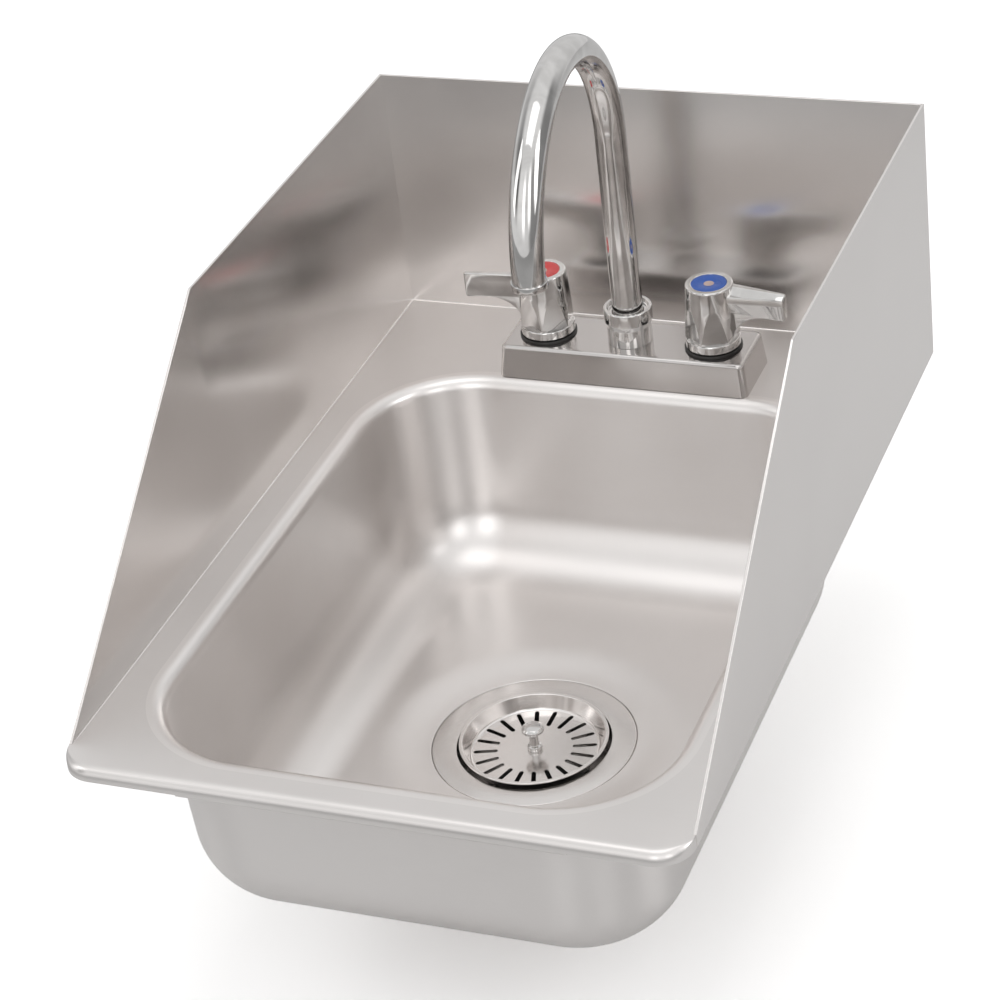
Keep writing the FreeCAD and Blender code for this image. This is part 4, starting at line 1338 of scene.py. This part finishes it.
def makeSpoutNut():
    s = spout
    foot, shoulder, top, inside = s["nutFoot"], s["nutShoulder"], s["nutTop"], s["radius"] + 0.3
    profile = rounded(
        [
            (s["recess"], foot),
            (s["nutFootRadius"], foot, 0.3),
            (s["nutFootRadius"], shoulder - 3, 1.0),
            (s["nutRadius"], shoulder, 1.0),
            (s["nutRadius"], top, 0.8),
            (s["recess"], top, 0.6),
            (s["recess"], s["recessFoot"], 0.8),
            (inside, s["recessFoot"], 0.3),
            (inside, shoulder),
            (s["recess"], shoulder),
        ],
        5,
    )
    lathePiece("spoutNut", profile, faucetPlace, "basin", "faucet_chrome", chrome, "spout_nut")


makeSpoutTube()
makeSpoutNut()
print("stage: spout made")


# Solids that stay as they are get their finish here
kept = {
    "black": (blackRubber, ("faucet_gasket", "spout_o_ring_lower", "spout_o_ring_upper")),
    "brass": (
        brassMetal,
        ("valve_body", "hot_cartridge", "cold_cartridge", "hot_stem", "cold_stem", "spout_bush"),
    ),
    "screws": (screwMetal, ("hot_handle_screw", "cold_handle_screw")),
    "white": (whitePlastic, ("flow_straightener",)),
}
for finish, names in kept.values():
    for name in names:
        solid = nodes[name]
        if not solid.material_slots:
            solid.data.materials.append(finish)
        for place in solid.material_slots:
            place.material = finish
print("stage: kept solids finished")


# Studio: camera, floor, lamps, world
studio = {
    "eye": (0.5531435, -1.0057981, 0.8888312),  # metres
    "right": (0.9312962506, 0.3473810279, -0.1096070942),
    "down": (0.1001028641, -0.5333843115, -0.8399289213),
    "ahead": (-0.3502380765, 0.7712506712, -0.5315126452),
    "lens": 108.31,
    "sensor": 36.0,
    "floor": -172.6,
    "floorSize": 6000.0,
    "floorSteps": 12,
    "nearFront": (-0.38, -0.28),  # in metres, where the near part of the floor starts
    "nearLeft": (-0.55, -0.4),
    "floorShade": 0.80,
    "floorSeen": 1.75,
    "floorGloss": 0.92,  # the part of the floor near the sink that metal reflects
    "floorFar": 0.6,
    "ambient": 0.60,
    "skyAround": (  # degrees from +X anticlockwise, and how bright the sky is there
        (-180, 0.3),
        (-150, 0.15),
        (-138, 0.15),
        (-128, 1.0),
        (-97, 1.05),
        (-92, 2.4),
        (-80, 2.4),
        (-75, 0.8),
        (-58, 0.8),
        (-53, 2.4),
        (-41, 2.4),
        (-36, 0.4),
        (-18, 0.4),
        (-13, 2.4),
        (1, 2.4),
        (7, 0.3),
        (40, 0.3),
        (56, 0.82),
        (130, 0.82),
        (180, 0.3),
    ),
    "skyTop": 2.5,  # the brightness that a full stop stands for
    "zenith": 0.92,
    "horizonBack": 0.75,
    "horizonFront": 0.85,
    "horizonRight": 0.3,
    "frontToBack": (-0.3, 0.3),  # directions between which one part turns into the next
    "toRight": (0.45, 0.8),
    "skyToZenith": (0.52, 0.8),
    "horizonToSky": (0.05, 0.38),
}


def makeCamera():
    eye = bpy.data.cameras.new("camera")
    eye.lens = studio["lens"]
    eye.sensor_width = studio["sensor"]
    eye.clip_end = 50.0
    camera = inScene("camera", eye)
    right, down, ahead = (Vector(studio[k]) for k in ("right", "down", "ahead"))
    turn = Matrix((right, -down, -ahead)).transposed()
    camera.matrix_world = Matrix.Translation(studio["eye"]) @ turn.to_4x4()
    bpy.context.scene.camera = camera


def rays(finish, *names):
    path = finish.tree.nodes.new("ShaderNodeLightPath")
    seen = None
    for name in names:
        ray = Wire(finish, path.outputs[name])
        both = {"operation": "MAXIMUM"}
        seen = ray if seen is None else finish.node("ShaderNodeMath", both, {0: seen, 1: ray})
    return seen


def makeFloor():
    size, steps, level = studio["floorSize"], studio["floorSteps"], studio["floor"]
    across = [size * (i / steps - 0.5) for i in range(steps + 1)]
    mesh = rawMesh("floor", *skin([[(x, y, level) for x in across] for y in across], closed=False))
    finish = Finish("paleFloor")
    ways = finish.tree.nodes.new("ShaderNodeSeparateXYZ")
    finish.feed(ways.inputs[0], finish.place())
    x, y = Wire(finish, ways.outputs[0]), Wire(finish, ways.outputs[1])
    near = finish.ease(y, *studio["nearFront"]) * finish.ease(x, *studio["nearLeft"])
    shade, far = (studio["floorShade"],) * 3, (studio["floorFar"],) * 3
    gloss, bright = (studio["floorGloss"],) * 3, (studio["floorSeen"],) * 3
    mirrored = finish.tint(near, far, gloss)
    inMetal = finish.tint(rays(finish, "Is Glossy Ray", "Is Transmission Ray"), shade, mirrored)
    finish.surface(
        base_color=finish.tint(rays(finish, "Is Camera Ray"), inMetal, bright),
        roughness=0.9,
        specular_ior_level=0.0,
    )
    mesh.materials.append(finish.material)
    inScene("floor", mesh)


def makeWorld():
    world = bpy.data.worlds.new("studio")
    world.use_nodes = True
    bpy.context.scene.world = world
    finish = Finish("studio", world.node_tree)
    towards = finish.node("ShaderNodeTexCoord", output="Generated")
    ways = finish.tree.nodes.new("ShaderNodeSeparateXYZ")
    finish.feed(ways.inputs[0], towards)
    x, y, z = (Wire(finish, way) for way in ways.outputs)
    around = finish.node("ShaderNodeMath", {"operation": "ARCTAN2"}, {0: y, 1: x})
    stops = [(0.5 + a / 360, (shade / studio["skyTop"],) * 3) for a, shade in studio["skyAround"]]
    sky = finish.node("ShaderNodeValToRGB", {"stops": stops}, {0: around * (0.5 / math.pi) + 0.5})
    toBack = finish.ease(y, *studio["frontToBack"])
    horizon = finish.blend(toBack, studio["horizonFront"], studio["horizonBack"])
    horizon = finish.blend(finish.ease(x, *studio["toRight"]), horizon, studio["horizonRight"])
    toZenith = finish.ease(z, *studio["skyToZenith"])
    sky = finish.blend(toZenith, sky * studio["skyTop"], studio["zenith"])
    room = finish.blend(finish.ease(z, *studio["horizonToSky"]), horizon, sky)
    strength = finish.blend(rays(finish, "Is Glossy Ray"), studio["ambient"], room)
    strength = finish.blend(rays(finish, "Is Camera Ray", "Is Transmission Ray"), strength, 1.0)
    background = finish.tree.nodes["Background"]
    background.inputs["Color"].default_value = (1, 1, 1, 1)
    finish.feed(background.inputs["Strength"], strength)


lamps = {  # metres and watts
    "overhead": {"at": (0.0, 0.1, 1.6), "aim": (0, 0.2, 0), "size": (1.1, 0.8), "power": 2.2},
    "leftBox": {"at": (-1.4, -0.3, 0.9), "aim": (0, 0.2, 0), "size": (0.5, 1.2), "power": 3.0},
    "rightBox": {"at": (1.5, 0.2, 0.8), "aim": (0, 0.2, 0), "size": (0.5, 1.2), "power": 3.0},
}


def makeLamp(name, look):
    light = bpy.data.lights.new(name, "AREA")
    light.shape = "RECTANGLE"
    light.size, light.size_y = look["size"]
    light.energy = look["power"]
    lamp = inScene(name, light)
    lamp.visible_camera = False
    lamp.location = look["at"]
    lamp.rotation_mode = "QUATERNION"
    lamp.rotation_quaternion = (Vector(look["aim"]) - Vector(look["at"])).to_track_quat("-Z", "Y")


makeCamera()
makeFloor()
makeWorld()
for name, look in lamps.items():
    makeLamp(name, look)
bpy.context.scene.view_settings.view_transform = "Standard"
print("stage: studio ready")
